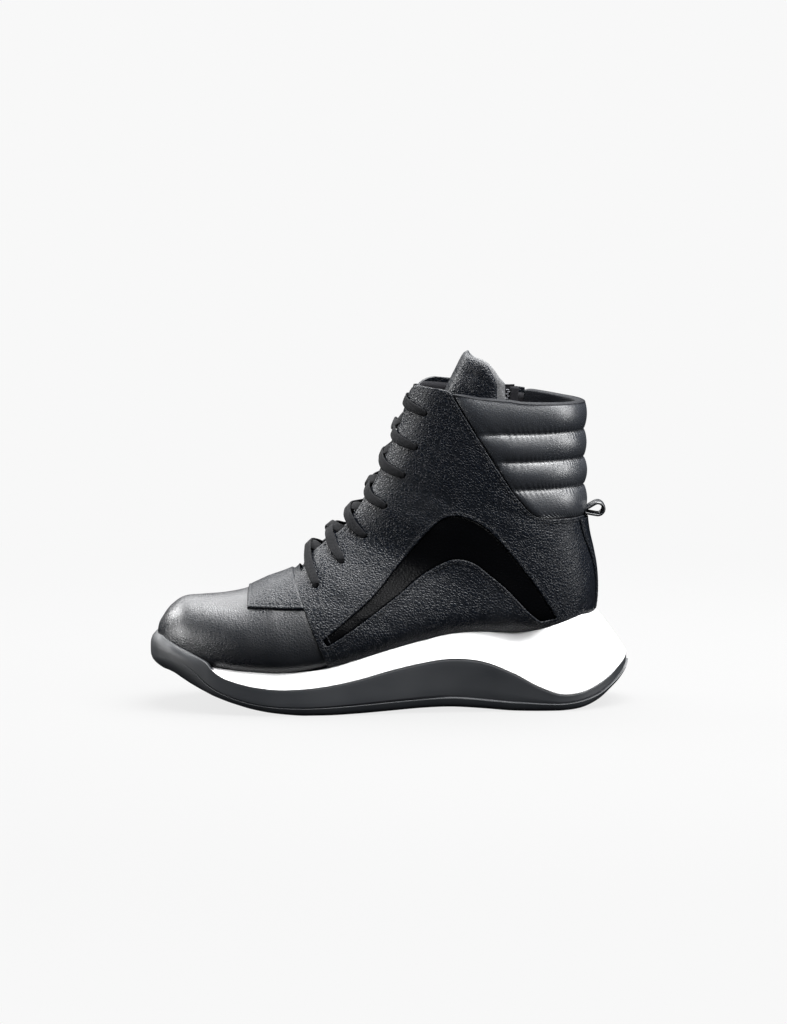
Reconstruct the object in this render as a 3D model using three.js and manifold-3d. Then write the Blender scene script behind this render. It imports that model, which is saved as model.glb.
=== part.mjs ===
// A left high-top sneaker boot: black leather upper, wave-shaped white midsole, dark rubber cup sole.
// Millimetres, +Z up. X runs from the toe to the heel, the outer (lateral) side faces -Y, the inner +Y.
import * as THREE from "three";
import { mergeVertices } from "three/addons/utils/BufferGeometryUtils.js";
import Module from "manifold-3d";

const wasm = await Module();
wasm.setup();

// Driving dimensions
const length = 256; // the upper, toe tip to heel back
const ballWidth = 94; // the upper, across the ball
const shaftHeight = 150; // collar above the foot bed
const forefootBed = 18; // underside of the upper above the floor, at the ball
const heelBed = 41; // the same at the heel
const toeSpring = 9; // how far the toe tip's underside rises over the ball's
const wall = 2.4; // leather and lining
const bumper = 4.1; // rubber ahead of the upper's toe
const heelTail = 17.9; // sole behind the upper's heel
const soleWidth = 100; // the sole's widest measure, twice its lateral half
const lipHeight = 16; // midsole's rim over the foot bed, at the heel
const lip = 1.8; // thickness of the midsole's upper edge
const gap = 0.3; // between neighbouring pieces
const quarterStep = 1.2; // the quarter's leather over the vamp's
const padDepth = 4; // how deep the quilted collar is let into the shaft
const padLining = 2.2; // wall behind the quilted collar
const bandDepth = 0.6; // how far the arch band lies below the quarter
const bandThickness = 0.8;
const overlay = 1.3; // leather of the vamp tab and heel strip
const tongueThickness = 4.5;
const insoleThickness = 4;
const eyeletRadius = 1.9;
const laceWidth = 5.6;
const laceThickness = 1.3;
const loopWidth = 15;
const loopStrap = 1.6;
const zipSlit = 7; // opening between the zip's two facings
const zipTape = 13;
const zipTapeThickness = 1;
const grooveWidth = 3;
const grooveDepth = 1.8;
const treadRim = 9; // uncut rubber round the tread's grooves

const LATERAL = -1;
const MEDIAL = 1;
const soleLength = bumper + length + heelTail;

// Sections of the upper, each a plane that leans back from the vamp to the shaft.
// top x, top z, low x, low z: x as shares of length, z as shares of shaftHeight above the foot bed.
// lateral, medial: half widths as shares of ballWidth. widest: where, from top to low. The last two
// are the roundness of the section above and below its widest place.
const upperRows = [
  [0.0, 0.073, 0.0, 0.073, 0.0, 0.0, 0.5, 2.0, 2.0],
  [0.003, 0.128, 0.004, 0.025, 0.085, 0.101, 0.55, 2.0, 2.2],
  [0.013, 0.167, 0.015, 0.007, 0.149, 0.176, 0.58, 2.1, 2.4],
  [0.032, 0.216, 0.033, 0.0, 0.213, 0.25, 0.6, 2.2, 2.6],
  [0.062, 0.259, 0.064, 0.0, 0.287, 0.324, 0.62, 2.2, 2.8],
  [0.105, 0.278, 0.107, 0.0, 0.356, 0.386, 0.64, 2.2, 3.0],
  [0.154, 0.295, 0.154, 0.0, 0.413, 0.428, 0.66, 2.2, 3.0],
  [0.205, 0.321, 0.216, 0.0, 0.46, 0.461, 0.68, 2.1, 3.0],
  [0.255, 0.363, 0.295, 0.0, 0.494, 0.481, 0.7, 2.0, 3.0],
  [0.308, 0.406, 0.4, 0.0, 0.506, 0.46, 0.71, 2.0, 3.0],
  [0.33, 0.443, 0.49, 0.0, 0.487, 0.426, 0.7, 1.95, 2.9],
  [0.349, 0.482, 0.576, 0.0, 0.455, 0.396, 0.69, 1.95, 2.8],
  [0.367, 0.508, 0.662, 0.0, 0.421, 0.379, 0.68, 1.95, 2.8],
  [0.382, 0.527, 0.748, 0.0, 0.394, 0.368, 0.68, 2.0, 2.8],
  [0.396, 0.543, 0.83, 0.0, 0.377, 0.362, 0.68, 2.1, 2.8],
  [0.408, 0.556, 0.9, 0.0, 0.368, 0.357, 0.68, 2.15, 2.8],
  [0.418, 0.569, 0.951, 0.006, 0.362, 0.354, 0.67, 2.2, 2.7],
  [0.428, 0.58, 0.98, 0.037, 0.357, 0.351, 0.66, 2.3, 2.6],
  [0.438, 0.593, 0.993, 0.097, 0.353, 0.349, 0.64, 2.4, 2.5],
  [0.45, 0.611, 0.997, 0.17, 0.349, 0.346, 0.62, 2.5, 2.4],
  [0.462, 0.631, 0.995, 0.247, 0.345, 0.343, 0.6, 2.6, 2.3],
  [0.474, 0.652, 0.988, 0.317, 0.34, 0.339, 0.59, 2.65, 2.25],
  [0.488, 0.68, 0.979, 0.387, 0.336, 0.336, 0.58, 2.7, 2.2],
  [0.501, 0.714, 0.974, 0.46, 0.334, 0.334, 0.57, 2.75, 2.2],
  [0.516, 0.762, 0.973, 0.54, 0.333, 0.333, 0.56, 2.8, 2.2],
  [0.532, 0.814, 0.973, 0.627, 0.333, 0.333, 0.56, 2.8, 2.2],
  [0.55, 0.87, 0.973, 0.717, 0.333, 0.333, 0.56, 2.8, 2.2],
  [0.566, 0.942, 0.974, 0.81, 0.334, 0.334, 0.56, 2.8, 2.2],
  [0.579, 1.01, 0.974, 0.9, 0.335, 0.335, 0.56, 2.8, 2.2],
  [0.602, 1.08, 0.974, 0.987, 0.336, 0.336, 0.56, 2.8, 2.2],
  [0.626, 1.15, 0.974, 1.073, 0.337, 0.337, 0.56, 2.8, 2.2],
];
const stepRow = 9; // the row along the quarter's front edge
const shaftRow = 16; // from here on the sections end on the back of the heel
const rimRow = 28; // the row at the collar's rim
const shaftHalf = 0.3; // about where the shaft's sides stand, a share of ballWidth

// Sections of the sole from toe to tail: station as a share of the sole's length, lateral and medial
// half widths as shares of soleWidth, then each height as a share of the next one: bottom of ledge,
// ledge of wave, wave of rim, and the rim over the foot bed as a share of lipHeight.
const soleRows = [
  [0.0, 0.0, 0.0, 0.77, 0.74, 1.0, 0.97],
  [0.003, 0.075, 0.085, 0.77, 0.74, 1.0, 0.97],
  [0.009, 0.13, 0.15, 0.76, 0.74, 1.0, 0.96],
  [0.018, 0.176, 0.202, 0.74, 0.75, 1.0, 0.94],
  [0.031, 0.22, 0.25, 0.73, 0.77, 1.0, 0.89],
  [0.052, 0.28, 0.31, 0.68, 0.8, 1.0, 0.82],
  [0.088, 0.345, 0.37, 0.6, 0.76, 1.0, 0.69],
  [0.117, 0.385, 0.402, 0.66, 0.61, 1.0, 0.53],
  [0.131, 0.403, 0.416, 0.675, 0.6, 0.985, 0.33],
  [0.153, 0.425, 0.432, 0.68, 0.57, 0.845, 0.33],
  [0.185, 0.45, 0.45, 0.62, 0.49, 0.755, 0.325],
  [0.221, 0.472, 0.463, 0.47, 0.405, 0.68, 0.34],
  [0.268, 0.49, 0.474, 0.22, 0.33, 0.64, 0.335],
  [0.322, 0.5, 0.47, 0.0, 0.29, 0.635, 0.37],
  [0.376, 0.494, 0.448, 0.0, 0.285, 0.645, 0.385],
  [0.437, 0.474, 0.414, 0.1, 0.285, 0.655, 0.44],
  [0.502, 0.446, 0.386, 0.22, 0.28, 0.69, 0.46],
  [0.567, 0.424, 0.372, 0.33, 0.28, 0.71, 0.43],
  [0.631, 0.411, 0.372, 0.34, 0.28, 0.7, 0.4],
  [0.696, 0.405, 0.382, 0.24, 0.245, 0.65, 0.245],
  [0.754, 0.406, 0.393, 0.06, 0.245, 0.52, 0.13],
  [0.808, 0.41, 0.403, 0.0, 0.325, 0.318, 0.235],
  [0.854, 0.404, 0.398, 0.0, 0.44, 0.2, 0.405],
  [0.897, 0.369, 0.365, 0.17, 0.54, 0.195, 0.58],
  [0.933, 0.31, 0.308, 0.53, 0.61, 0.254, 0.73],
  [0.96, 0.244, 0.243, 0.77, 0.71, 0.333, 0.74],
  [0.98, 0.174, 0.174, 0.83, 0.76, 0.418, 0.74],
  [0.995, 0.096, 0.096, 0.86, 0.83, 0.49, 0.74],
  [1.0, 0.0, 0.0, 0.88, 0.85, 0.53, 0.74],
];
const midsoleFrom = 8; // the first sole row that has a midsole

// The arch band in side view: upper edge x, z and lower edge x, z, as shares like the upper's rows.
const bandRows = [
  [0.379, 0.158, 0.388, 0.129],
  [0.435, 0.216, 0.443, 0.169],
  [0.492, 0.275, 0.502, 0.214],
  [0.537, 0.344, 0.554, 0.256],
  [0.576, 0.401, 0.595, 0.294],
  [0.615, 0.457, 0.63, 0.315],
  [0.646, 0.491, 0.664, 0.328],
  [0.677, 0.495, 0.691, 0.322],
  [0.709, 0.474, 0.722, 0.296],
  [0.748, 0.428, 0.754, 0.248],
  [0.787, 0.357, 0.789, 0.196],
  [0.822, 0.284, 0.82, 0.141],
  [0.857, 0.204, 0.841, 0.102],
  [0.886, 0.127, 0.86, 0.073],
  [0.904, 0.074, 0.868, 0.062],
];

// The quilted collar: height of each stitched seam, and the front edge on the lateral side as x at
// a height, all as shares like the upper's rows. Its front edge on the medial side follows the zip.
const quiltSeams = [0.455, 0.573, 0.68, 0.787];
const quiltFront = [
  [0.455, 0.885],
  [0.459, 0.871],
  [0.468, 0.859],
  [0.48, 0.848],
  [0.499, 0.836],
  [0.563, 0.806],
  [0.66, 0.769],
  [0.767, 0.732],
  [0.877, 0.696],
  [0.977, 0.665],
  [1.08, 0.632],
];

// The zip's line in side view, x at a height.
const zipLine = [
  [0.17, 0.771],
  [0.56, 0.787],
  [1.08, 0.81],
];
const zipBottom = 0.2;
const sliderHeight = 0.9;

// Half the gap between the eyestays by row of the upper, as shares of ballWidth: lateral, medial
const throatRows = [
  [9.0, 0.2, 0.2],
  [10.0, 0.17, 0.17],
  [10.6, 0.13, 0.13],
  [11.4, 0.112, 0.112],
  [14.0, 0.115, 0.115],
  [19.0, 0.108, 0.12],
  [22.0, 0.095, 0.135],
  [25.0, 0.09, 0.155],
  [27.2, 0.092, 0.185],
  [27.5, 0.102, 0.205],
  [27.75, 0.123, 0.225],
  [27.9, 0.148, 0.245],
  [28.0, 0.18, 0.27],
  [28.6, 0.3, 0.37],
];

// The eyelets from the vamp up, in side view.
const eyelets = [
  [0.364, 0.358],
  [0.421, 0.428],
  [0.473, 0.5],
  [0.519, 0.595],
  [0.561, 0.694],
  [0.589, 0.789],
  [0.611, 0.909],
];

// Small helpers

function smooth(t) {
  const c = Math.min(1, Math.max(0, t));
  return c * c * (3 - 2 * c);
}

function lerp(a, b, t) {
  return a + (b - a) * t;
}

// The value at a key, from rows that start with their key, in rising order
function tabled(rows, key, column = 1) {
  let k = 1;
  while (k < rows.length - 1 && rows[k][0] < key) k++;
  const share = (key - rows[k - 1][0]) / (rows[k][0] - rows[k - 1][0]);
  return lerp(rows[k - 1][column], rows[k][column], Math.min(1, Math.max(0, share)));
}

// Halves an interval until it holds the place where a rising test turns true.
function bisect(low, high, isPast, steps = 26) {
  let a = low;
  let b = high;
  for (let i = 0; i < steps; i++) {
    const m = (a + b) / 2;
    if (isPast(m)) b = m;
    else a = m;
  }
  return (a + b) / 2;
}

const bedLow = 0.295; // where the foot bed is lowest, a share of length
const bedRise = 0.488; // and over what share it rises to the heel

// Height of the foot bed, the upper's underside, at a place along the shoe
function bed(x) {
  const share = x / length;
  const toe = Math.max(0, (bedLow - share) / bedLow);
  return forefootBed + toeSpring * toe * toe + (heelBed - forefootBed) * smooth((share - bedLow) / bedRise);
}

// A side-view point from its shares of the length and of the shaft's height
function sidePoint(xShare, zShare) {
  const x = xShare * length;
  return { x, z: bed(x) + zShare * shaftHeight };
}

// The upper's own function

const toePhantom = upperRows[1].map((value, column) => {
  const turned = [2, 3, 0, 1, 4, 5, 6, 7, 8][column];
  const mirrored = column === 4 || column === 5 ? -1 : 1;
  return mirrored * upperRows[1][turned];
});

function upperRow(i) {
  if (i < 0) return toePhantom;
  return upperRows[Math.min(i, upperRows.length - 1)];
}

// The section at a row number that may lie between two rows
function section(u) {
  const i = Math.min(Math.floor(u), upperRows.length - 2);
  const t = u - i;
  const rows = [upperRow(i - 1), upperRow(i), upperRow(i + 1), upperRow(i + 2)];
  const value = (c) => {
    const [p, q, r, s] = rows.map((row) => row[c]);
    return q + 0.5 * t * (r - p + t * (2 * p - 5 * q + 4 * r - s + t * (3 * (q - r) + s - p)));
  };
  const top = sidePoint(value(0), value(1));
  const low = sidePoint(value(2), value(3));
  return {
    top,
    low,
    half: { [LATERAL]: value(4) * ballWidth, [MEDIAL]: value(5) * ballWidth },
    widest: value(6),
    topRound: value(7),
    lowRound: value(8),
  };
}

// Share of the way from a section's top to its low point, and share of its half width, at v from 0 to 1
function sectionCurve(s, v) {
  const turn = v <= 0.5 ? v * Math.PI : (1 - v) * Math.PI;
  const power = 2 / (v <= 0.5 ? s.topRound : s.lowRound);
  const across = Math.pow(Math.abs(Math.sin(turn)), power);
  const along = Math.pow(Math.abs(Math.cos(turn)), power);
  const down = v <= 0.5 ? s.widest * (1 - along) : s.widest + (1 - s.widest) * along;
  return { down, across };
}

// The rim stands higher beside the throat, more so on the medial side, and dips a little on the lateral.
// Lifts are shares of shaftHeight, and places along the rim shares of the way from its front to its back.
const medialLift = 0.036;
const medialLiftEnd = 0.89;
const lateralLift = 0.022;
const lateralLiftFrom = 0.12;
const lateralLiftFade = 0.2;
const lateralDip = 0.012;
const liftFrom = 0.6; // height where the lift sets in
const liftFade = 0.35;
const rimFront = 0.595; // x of the rim's front, a share of length
const rimReach = 0.379; // and from there to its back
const rimMiddle = 0.12; // no lift in the middle plane, all of it from this share of ballWidth on

function rimShift(x, y, z) {
  const high = smooth(((z - bed(x)) / shaftHeight - liftFrom) / liftFade);
  const t = Math.min(1, Math.max(0, (x / length - rimFront) / rimReach));
  const front = 1 - smooth((t - lateralLiftFrom) / lateralLiftFade);
  const lateral = lateralLift * front - lateralDip * Math.sin(Math.PI * t);
  const shift = y > 0 ? medialLift * Math.max(0, 1 - t / medialLiftEnd) : lateral;
  return shift * shaftHeight * high * smooth(Math.abs(y) / (rimMiddle * ballWidth));
}

// A point of the surface before the rim is lifted
function barePoint(u, v, side) {
  const reflected = v < 0 || v > 1;
  const s = section(u);
  const hand = reflected ? -side : side;
  const { down, across } = sectionCurve(s, v < 0 ? -v : v > 1 ? 2 - v : v);
  const x = lerp(s.top.x, s.low.x, down);
  const y = hand * s.half[hand] * across;
  const z = lerp(s.top.z, s.low.z, down);
  return new THREE.Vector3(x, y, z);
}

function skinPoint(u, v, side) {
  const p = barePoint(u, v, side);
  return p.setZ(p.z + rimShift(p.x, p.y, p.z));
}

function skinNormal(u, v, side, pointAt = skinPoint) {
  if (u < 0.01) return new THREE.Vector3(-1, 0, 0);
  const stepU = Math.min(0.04, u);
  const stepV = 0.012;
  const alongU = pointAt(u + stepU, v, side).sub(pointAt(u - stepU, v, side));
  const alongV = pointAt(u, v + stepV, side).sub(pointAt(u, v - stepV, side));
  return alongV.cross(alongU).multiplyScalar(-side).normalize();
}

// A point of the upper's surface, moved inwards by a depth
function skin(u, v, side, depth = 0, pointAt = skinPoint) {
  return pointAt(u, v, side).addScaledVector(skinNormal(u, v, side, pointAt), -depth);
}

// Where a side-view point lies on the surface: its row number and v, or null outside the outline
function locate(x, z, side) {
  const y = side * shaftHalf * ballWidth;
  const level = z - rimShift(x, y, z - rimShift(x, y, z));
  const past = (u) => {
    const { top, low } = section(u);
    return (low.x - top.x) * (level - top.z) - (low.z - top.z) * (x - top.x) < 0;
  };
  const u = bisect(0.02, upperRows.length - 1.01, past);
  const s = section(u);
  const dx = s.low.x - s.top.x;
  const dz = s.low.z - s.top.z;
  const down = ((x - s.top.x) * dx + (level - s.top.z) * dz) / (dx * dx + dz * dz);
  if (down <= 0 || down >= 1) return null;
  const upperHalf = down < s.widest;
  const along = upperHalf ? 1 - down / s.widest : (down - s.widest) / (1 - s.widest);
  const round = upperHalf ? s.topRound : s.lowRound;
  const turn = Math.acos(Math.pow(along, round / 2)) / Math.PI;
  return { u, v: upperHalf ? turn : 1 - turn };
}

// The surface point behind a side-view point, moved inwards by a depth
function across(x, z, side, depth = 0) {
  const place = locate(x, z, side);
  return skin(place.u, place.v, side, depth);
}

// Half width of the upper at a side-view point, 0 outside its outline
function halfWidth(x, z, side) {
  const place = locate(x, z, side);
  return place ? Math.abs(skinPoint(place.u, place.v, side).y) : 0;
}

// v where the surface is a given distance from the middle plane, on top of a section
function vAtHalfGap(u, half, side) {
  const s = section(u);
  return Math.asin(Math.min(1, Math.pow(half / s.half[side], s.topRound / 2))) / Math.PI;
}

// Solids

function solidFrom(geometry) {
  const bare = geometry.index ? geometry.toNonIndexed() : geometry.clone();
  bare.deleteAttribute("normal");
  bare.deleteAttribute("uv");
  const merged = mergeVertices(bare, 1e-4);
  const vertProperties = merged.attributes.position.array;
  const build = (triVerts) => new wasm.Manifold(new wasm.Mesh({ numProp: 3, vertProperties, triVerts }));
  const faces = new Uint32Array(merged.index.array);
  const made = build(faces);
  return made.volume() < 0 ? build(faces.reverse()) : made;
}

// A closed solid from a stack of loops. Each layer has a left and a right row of as many points, and
// its loop runs along the left row and back along the right one. The first and last loops are capped.
function stack(layers) {
  const corners = [];
  const apart = (p, q) => p.distanceToSquared(q) > 1e-8;
  const face = (a, b, c) => {
    if (apart(a, b) && apart(b, c) && apart(c, a)) corners.push(a, b, c);
  };
  const quad = (a, b, c, d) => {
    face(a, b, c);
    face(a, c, d);
  };
  const loops = layers.map(({ left, right }) => [...left, ...[...right].reverse()]);
  for (let k = 0; k + 1 < loops.length; k++) {
    loops[k].forEach((a, i) => {
      const next = (i + 1) % loops[k].length;
      quad(a, loops[k][next], loops[k + 1][next], loops[k + 1][i]);
    });
  }
  const first = layers[0];
  const last = layers[layers.length - 1];
  for (let j = 0; j + 1 < first.left.length; j++) {
    quad(first.left[j + 1], first.left[j], first.right[j], first.right[j + 1]);
    quad(last.left[j], last.left[j + 1], last.right[j + 1], last.right[j]);
  }
  return solidFrom(new THREE.BufferGeometry().setFromPoints(corners));
}

// A slab that follows a surface: place(row, column, depth) gives its points
function slab(rows, columns, place, outer, inner) {
  const at = (depth) => (row) =>
    columns.map((column) => place(row, column, typeof depth === "function" ? depth(row, column) : depth));
  const outerRow = at(outer);
  const innerRow = at(inner);
  return stack(rows.map((row) => ({ left: outerRow(row), right: innerRow(row) })));
}

function steps(from, to, count) {
  return Array.from({ length: count + 1 }, (_, i) => lerp(from, to, i / count));
}

function box(sx, sy, sz, x, y, z) {
  return solidFrom(new THREE.BoxGeometry(sx, sy, sz).translate(x, y, z));
}

// A round bar through a point, along a direction
function bar(radius, reach, centre, direction, sides) {
  const turn = new THREE.Quaternion().setFromUnitVectors(new THREE.Vector3(0, 1, 0), direction);
  const geometry = new THREE.CylinderGeometry(radius, radius, reach, sides);
  return solidFrom(geometry.applyQuaternion(turn).translate(centre.x, centre.y, centre.z));
}

// Upper

const sideSteps = steps(0, 1, 12);
const beyond = 6; // how far cutters run past what they cut

function ring(u, depth) {
  const row = (side) => sideSteps.map((v) => skin(u, v, side, depth));
  return { left: row(LATERAL), right: row(MEDIAL) };
}

// The whole surface as one closed solid, moved inwards by a depth that may change from row to row
function envelope(depthAt, topRow) {
  const rows = upperRows.map((_, i) => i).filter((i) => i < topRow - 0.5);
  return stack([...rows, topRow].map((u) => ring(u, depthAt(u))));
}

// The vamp's leather lies under the quarter's, so its surface drops just ahead of the step
function vampDrop(u) {
  return u > stepRow - 1 && u < stepRow ? quarterStep * (u - stepRow + 1) : 0;
}

function outerShell(grow = 0) {
  const rows = upperRows.map((_, i) => i).filter((i) => i < rimRow);
  rows.splice(stepRow, 0, stepRow - 0.04);
  return stack([...rows, rimRow + 0.6].map((u) => ring(u, vampDrop(u) - grow)));
}

// The outside of the upper with the usual gap round it, cut from what lies on it
const snugShell = outerShell(gap);

function throatHalf(u, side) {
  return tabled(throatRows, u, side === LATERAL ? 1 : 2) * ballWidth;
}

function throatPlace(u, column, depth) {
  const side = column < 0 ? LATERAL : MEDIAL;
  return skin(u, vAtHalfGap(u, Math.abs(column) * throatHalf(u, side), side), side, depth);
}

function throatCutter() {
  const rows = [stepRow, 10, 10.6, 11.4, 14, 17, 20, 23, 25, 27.2, 27.5, 27.75, 27.9, 28.1, 28.6, 29.2];
  return slab(rows, [-1, -0.5, 0, 0.5, 1], throatPlace, -beyond, wall + beyond);
}

// Everything above the collar's rim
function rimCutter() {
  return stack([ring(rimRow, -beyond), ring(rimRow + 1.9, -beyond)]);
}

// Hole under the foot, inside the margin that is glued to the sole
const underMargin = 0.13; // a share of ballWidth
const underRise = 5; // over the foot bed, where the upper's width is taken

function underCutter() {
  const margin = underMargin * ballWidth;
  const rows = steps(0.08, 0.93, 12).map((share) => share * length);
  const half = (x, side) => halfWidth(x, bed(x) + underRise, side) - margin;
  const edge = (x, side, z) => new THREE.Vector3(x, side * half(x, side), z);
  const layer = (rise) => ({
    left: rows.map((x) => edge(x, LATERAL, bed(x) + rise)),
    right: rows.map((x) => edge(x, MEDIAL, bed(x) + rise)),
  });
  return stack([layer(-4), layer(wall + 1.2)]);
}

// The quilted collar's place on the shaft: a height share and a column from -1 to 1 round the back
function quiltPlace(height, column, depth, grow) {
  const side = column < 0 ? LATERAL : MEDIAL;
  const frontX = quiltFrontX(height, side) * length - grow;
  const isOver = (v) => (u) => heightShare(skinPoint(u, v, side)) > height;
  const level = (v) => bisect(shaftRow, upperRows.length - 1.01, isOver(v));
  const front = bisect(0.06, 0.97, (v) => skinPoint(level(v), v, side).x > frontX, 18);
  const v = lerp(1, front, Math.abs(column));
  return skin(level(v), v, side, depth);
}

// The rim's height share where the quilted collar meets it
function quiltRim(column, grow) {
  const side = column < 0 ? LATERAL : MEDIAL;
  const rimPoint = (v) => skinPoint(rimRow, v, side);
  const isBehind = (v) => rimPoint(v).x > quiltFrontX(heightShare(rimPoint(v)), side) * length - grow;
  const front = bisect(0.06, 0.97, isBehind, 18);
  return heightShare(rimPoint(lerp(1, front, Math.abs(column))));
}

function heightShare(p) {
  return (p.z - bed(p.x)) / shaftHeight;
}

function quiltFrontX(height, side) {
  if (side === LATERAL) return tabled(quiltFront, height);
  return tabled(zipLine, height) + (zipSlit + zipTape) / 2 / length;
}

const quiltHeights = [0.459, 0.476, 0.499, 0.563, 0.66, 0.767, 0.9];
const quiltColumns = [-1, -0.8, -0.6, -0.4, -0.2, 0, 0.2, 0.4, 0.6, 0.8, 1];
const overRim = 1.03;

function quiltBlock(outer, inner, grow) {
  const low = quiltSeams[0] - grow / shaftHeight;
  const place = (height, column, depth) => quiltPlace(height, column, depth, grow);
  const rows = [low, ...quiltHeights, overRim];
  return slab(rows, quiltColumns, place, outer, inner);
}

// The arch band's place: a row number of its table and 0 at its upper, 1 at its lower edge
function bandPlace(row, column, depth, grow) {
  const i = Math.min(bandRows.length - 2, Math.max(0, Math.floor(row)));
  const t = row - i;
  const [ax, az, bx, bz] = bandRows[i].map((value, c) => lerp(value, bandRows[i + 1][c], t));
  const upper = sidePoint(ax, az);
  const lower = sidePoint(bx, bz);
  const span = Math.hypot(lower.x - upper.x, lower.z - upper.z);
  const share = column + ((column - 0.5) * 2 * grow) / span;
  return across(lerp(upper.x, lower.x, share), lerp(upper.z, lower.z, share), LATERAL, depth);
}

const bandSteps = steps(0, bandRows.length - 1, bandRows.length - 1);
const bandEnd = 0.06; // how far the bed runs past the band, in rows

function bandBed() {
  const rows = [-bandEnd, ...bandSteps.slice(1, -1), bandRows.length - 1 + bandEnd];
  const place = (row, column, depth) => bandPlace(row, column, depth, gap);
  return slab(rows, [0, 0.5, 1], place, -beyond, bandDepth + bandThickness + gap / 2);
}

// The zip's place: a height share and a distance along X from its line
function zipPlace(height, offset, depth) {
  const x = tabled(zipLine, height) * length + offset;
  return across(x, bed(x) + height * shaftHeight, MEDIAL, depth);
}

function zipCutter() {
  const half = zipSlit / 2;
  const rows = steps(zipBottom - 0.01, 1.06, 6);
  return slab(rows, [-half, half], zipPlace, -beyond, wall + padDepth + padLining);
}

function eyeletPlace([xShare, zShare], side) {
  const { x, z } = sidePoint(xShare, zShare);
  return locate(x, z, side);
}

function eyeletCutters() {
  return [LATERAL, MEDIAL].flatMap((side) =>
    eyelets.map((eyelet) => {
      const { u, v } = eyeletPlace(eyelet, LATERAL);
      const centre = skin(u, v, side, wall / 2);
      return bar(eyeletRadius, wall + beyond, centre, skinNormal(u, v, side), 6);
    }),
  );
}

function upper() {
  let made = outerShell().subtract(envelope(() => wall, rimRow + 1));
  made = made.add(quiltBlock(wall / 2, padDepth + padLining, padLining));
  made = made.subtract(quiltBlock(-beyond, padDepth, 0));
  for (const cutter of [throatCutter(), underCutter(), bandBed(), zipCutter(), ...eyeletCutters()]) {
    made = made.subtract(cutter);
  }
  return made.subtract(rimCutter());
}

// Quilted collar, with a roll between each two seams and a fuller one up to the rim

const rollPlaces = [0, 0.18, 0.5, 0.82];
const rollPeak = 1.1;
const rollValley = 1.3;

function quiltedCollar() {
  const seams = [...quiltSeams, null];
  const rows = [];
  seams.slice(0, -1).forEach((low, roll) => {
    for (const place of rollPlaces) rows.push({ roll, low, high: seams[roll + 1], place });
  });
  rows.push({ roll: seams.length - 2, low: seams[seams.length - 2], high: null, place: 1 });
  rows[0] = { ...rows[0], low: rows[0].low + gap / shaftHeight };
  const inset = -1.5 * gap;
  const place = (row, column, depth) => {
    const high = row.high ?? quiltRim(column, inset);
    return quiltPlace(lerp(row.low, high, row.place), column, depth, inset);
  };
  const outer = ({ place: share, high }) => {
    const bulge = Math.pow(Math.sin(Math.PI * (high === null ? share * 0.86 : share)), 0.6);
    return rollValley - (rollPeak + rollValley) * bulge;
  };
  return slab(rows, quiltColumns, place, outer, padDepth - 2 * gap);
}

// Arch band, a smooth leather strip sunk into the lateral quarter
function archBand() {
  const place = (row, column, depth) => bandPlace(row, column, depth, 0);
  return slab(bandSteps, [0, 0.5, 1], place, bandDepth, bandDepth + bandThickness);
}

// Tongue, a curved pad that leaves the eyestays towards its top

const tongueFoot = 0.15; // v reached by its edges at the vamp
const tongueHalf = { [LATERAL]: 0.486, [MEDIAL]: 0.5 }; // and at the rim
const tongueNarrowing = { [LATERAL]: 0.009, [MEDIAL]: 0.004 }; // for each row over the rim
const tongueLean = 0.113; // how far its top leans back from the eyestays, of shaftHeight
const tongueTop = 29.92; // the row of its apex
const tongueFall = { [LATERAL]: 0.3, [MEDIAL]: 0.55 }; // rows from the apex down to its shoulders
const tongueCorner = { [LATERAL]: 1.1, [MEDIAL]: 1.4 }; // and on to its corners
const tongueClearance = 1.3; // behind the upper's wall
const leanRows = [14, 28.5]; // rows over which it comes to lean back
const tuckRows = [15, 21]; // rows over which its edges pass behind the quilted collar

function tonguePlace(share, column, depth) {
  const side = column < 0 ? LATERAL : MEDIAL;
  const reach = Math.abs(column);
  const top = tongueTop - tongueCorner[side] * Math.pow(reach, 10) - tongueFall[side] * smooth(reach / 0.8);
  const u = lerp(stepRow - 0.3, top, share);
  const widest = tongueHalf[side] - tongueNarrowing[side] * Math.max(0, u - rimRow + 0.4);
  const half = lerp(tongueFoot, widest, smooth((u - stepRow) / (rimRow - 0.5 - stepRow)));
  const over = ([from, to]) => smooth((u - from) / (to - from));
  const tuck = (padDepth + padLining - wall) * over(tuckRows) * smooth((reach - 0.2) / 0.5);
  const p = skin(u, reach * half, side, depth + tuck, barePoint);
  return p.setX(p.x + tongueLean * shaftHeight * over(leanRows) * (1 - reach * reach));
}

function tongue() {
  const columns = [-1, -0.9, -0.7, -0.35, 0, 0.35, 0.7, 0.9, 1];
  const edge = tongueThickness / 5;
  const rounding = (column) => (Math.abs(column) === 1 ? edge : 0);
  const outer = (share, column) => wall + tongueClearance + rounding(column);
  const inner = (share, column) => wall + tongueClearance + tongueThickness - rounding(column);
  return slab(steps(0, 1, 13), columns, tonguePlace, outer, inner);
}

// Vamp tab, the tongue's base over the vamp
const tabFront = 7.1; // the row of its front edge
const tabReach = { front: 0.225, back: 0.31 }; // v reached by its sides

function vampTab() {
  const columns = [-1, -0.7, -0.35, 0, 0.35, 0.7, 1];
  const place = (share, column, depth) => {
    const u = lerp(tabFront - 0.05 * Math.abs(column), stepRow - 0.06, share);
    const reach = lerp(tabReach.front, tabReach.back, share);
    return skin(u, Math.abs(column) * reach, column < 0 ? LATERAL : MEDIAL, depth + vampDrop(u));
  };
  return slab(steps(0, 1, 5), columns, place, -gap - overlay, 1).subtract(snugShell);
}

// Heel strip down the back seam, wide under the collar and narrow at the sole
const stripHalf = { low: 0.07, high: 0.15 }; // shares of ballWidth
const stripHeights = { low: 0.088, high: 0.44 };

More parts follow.
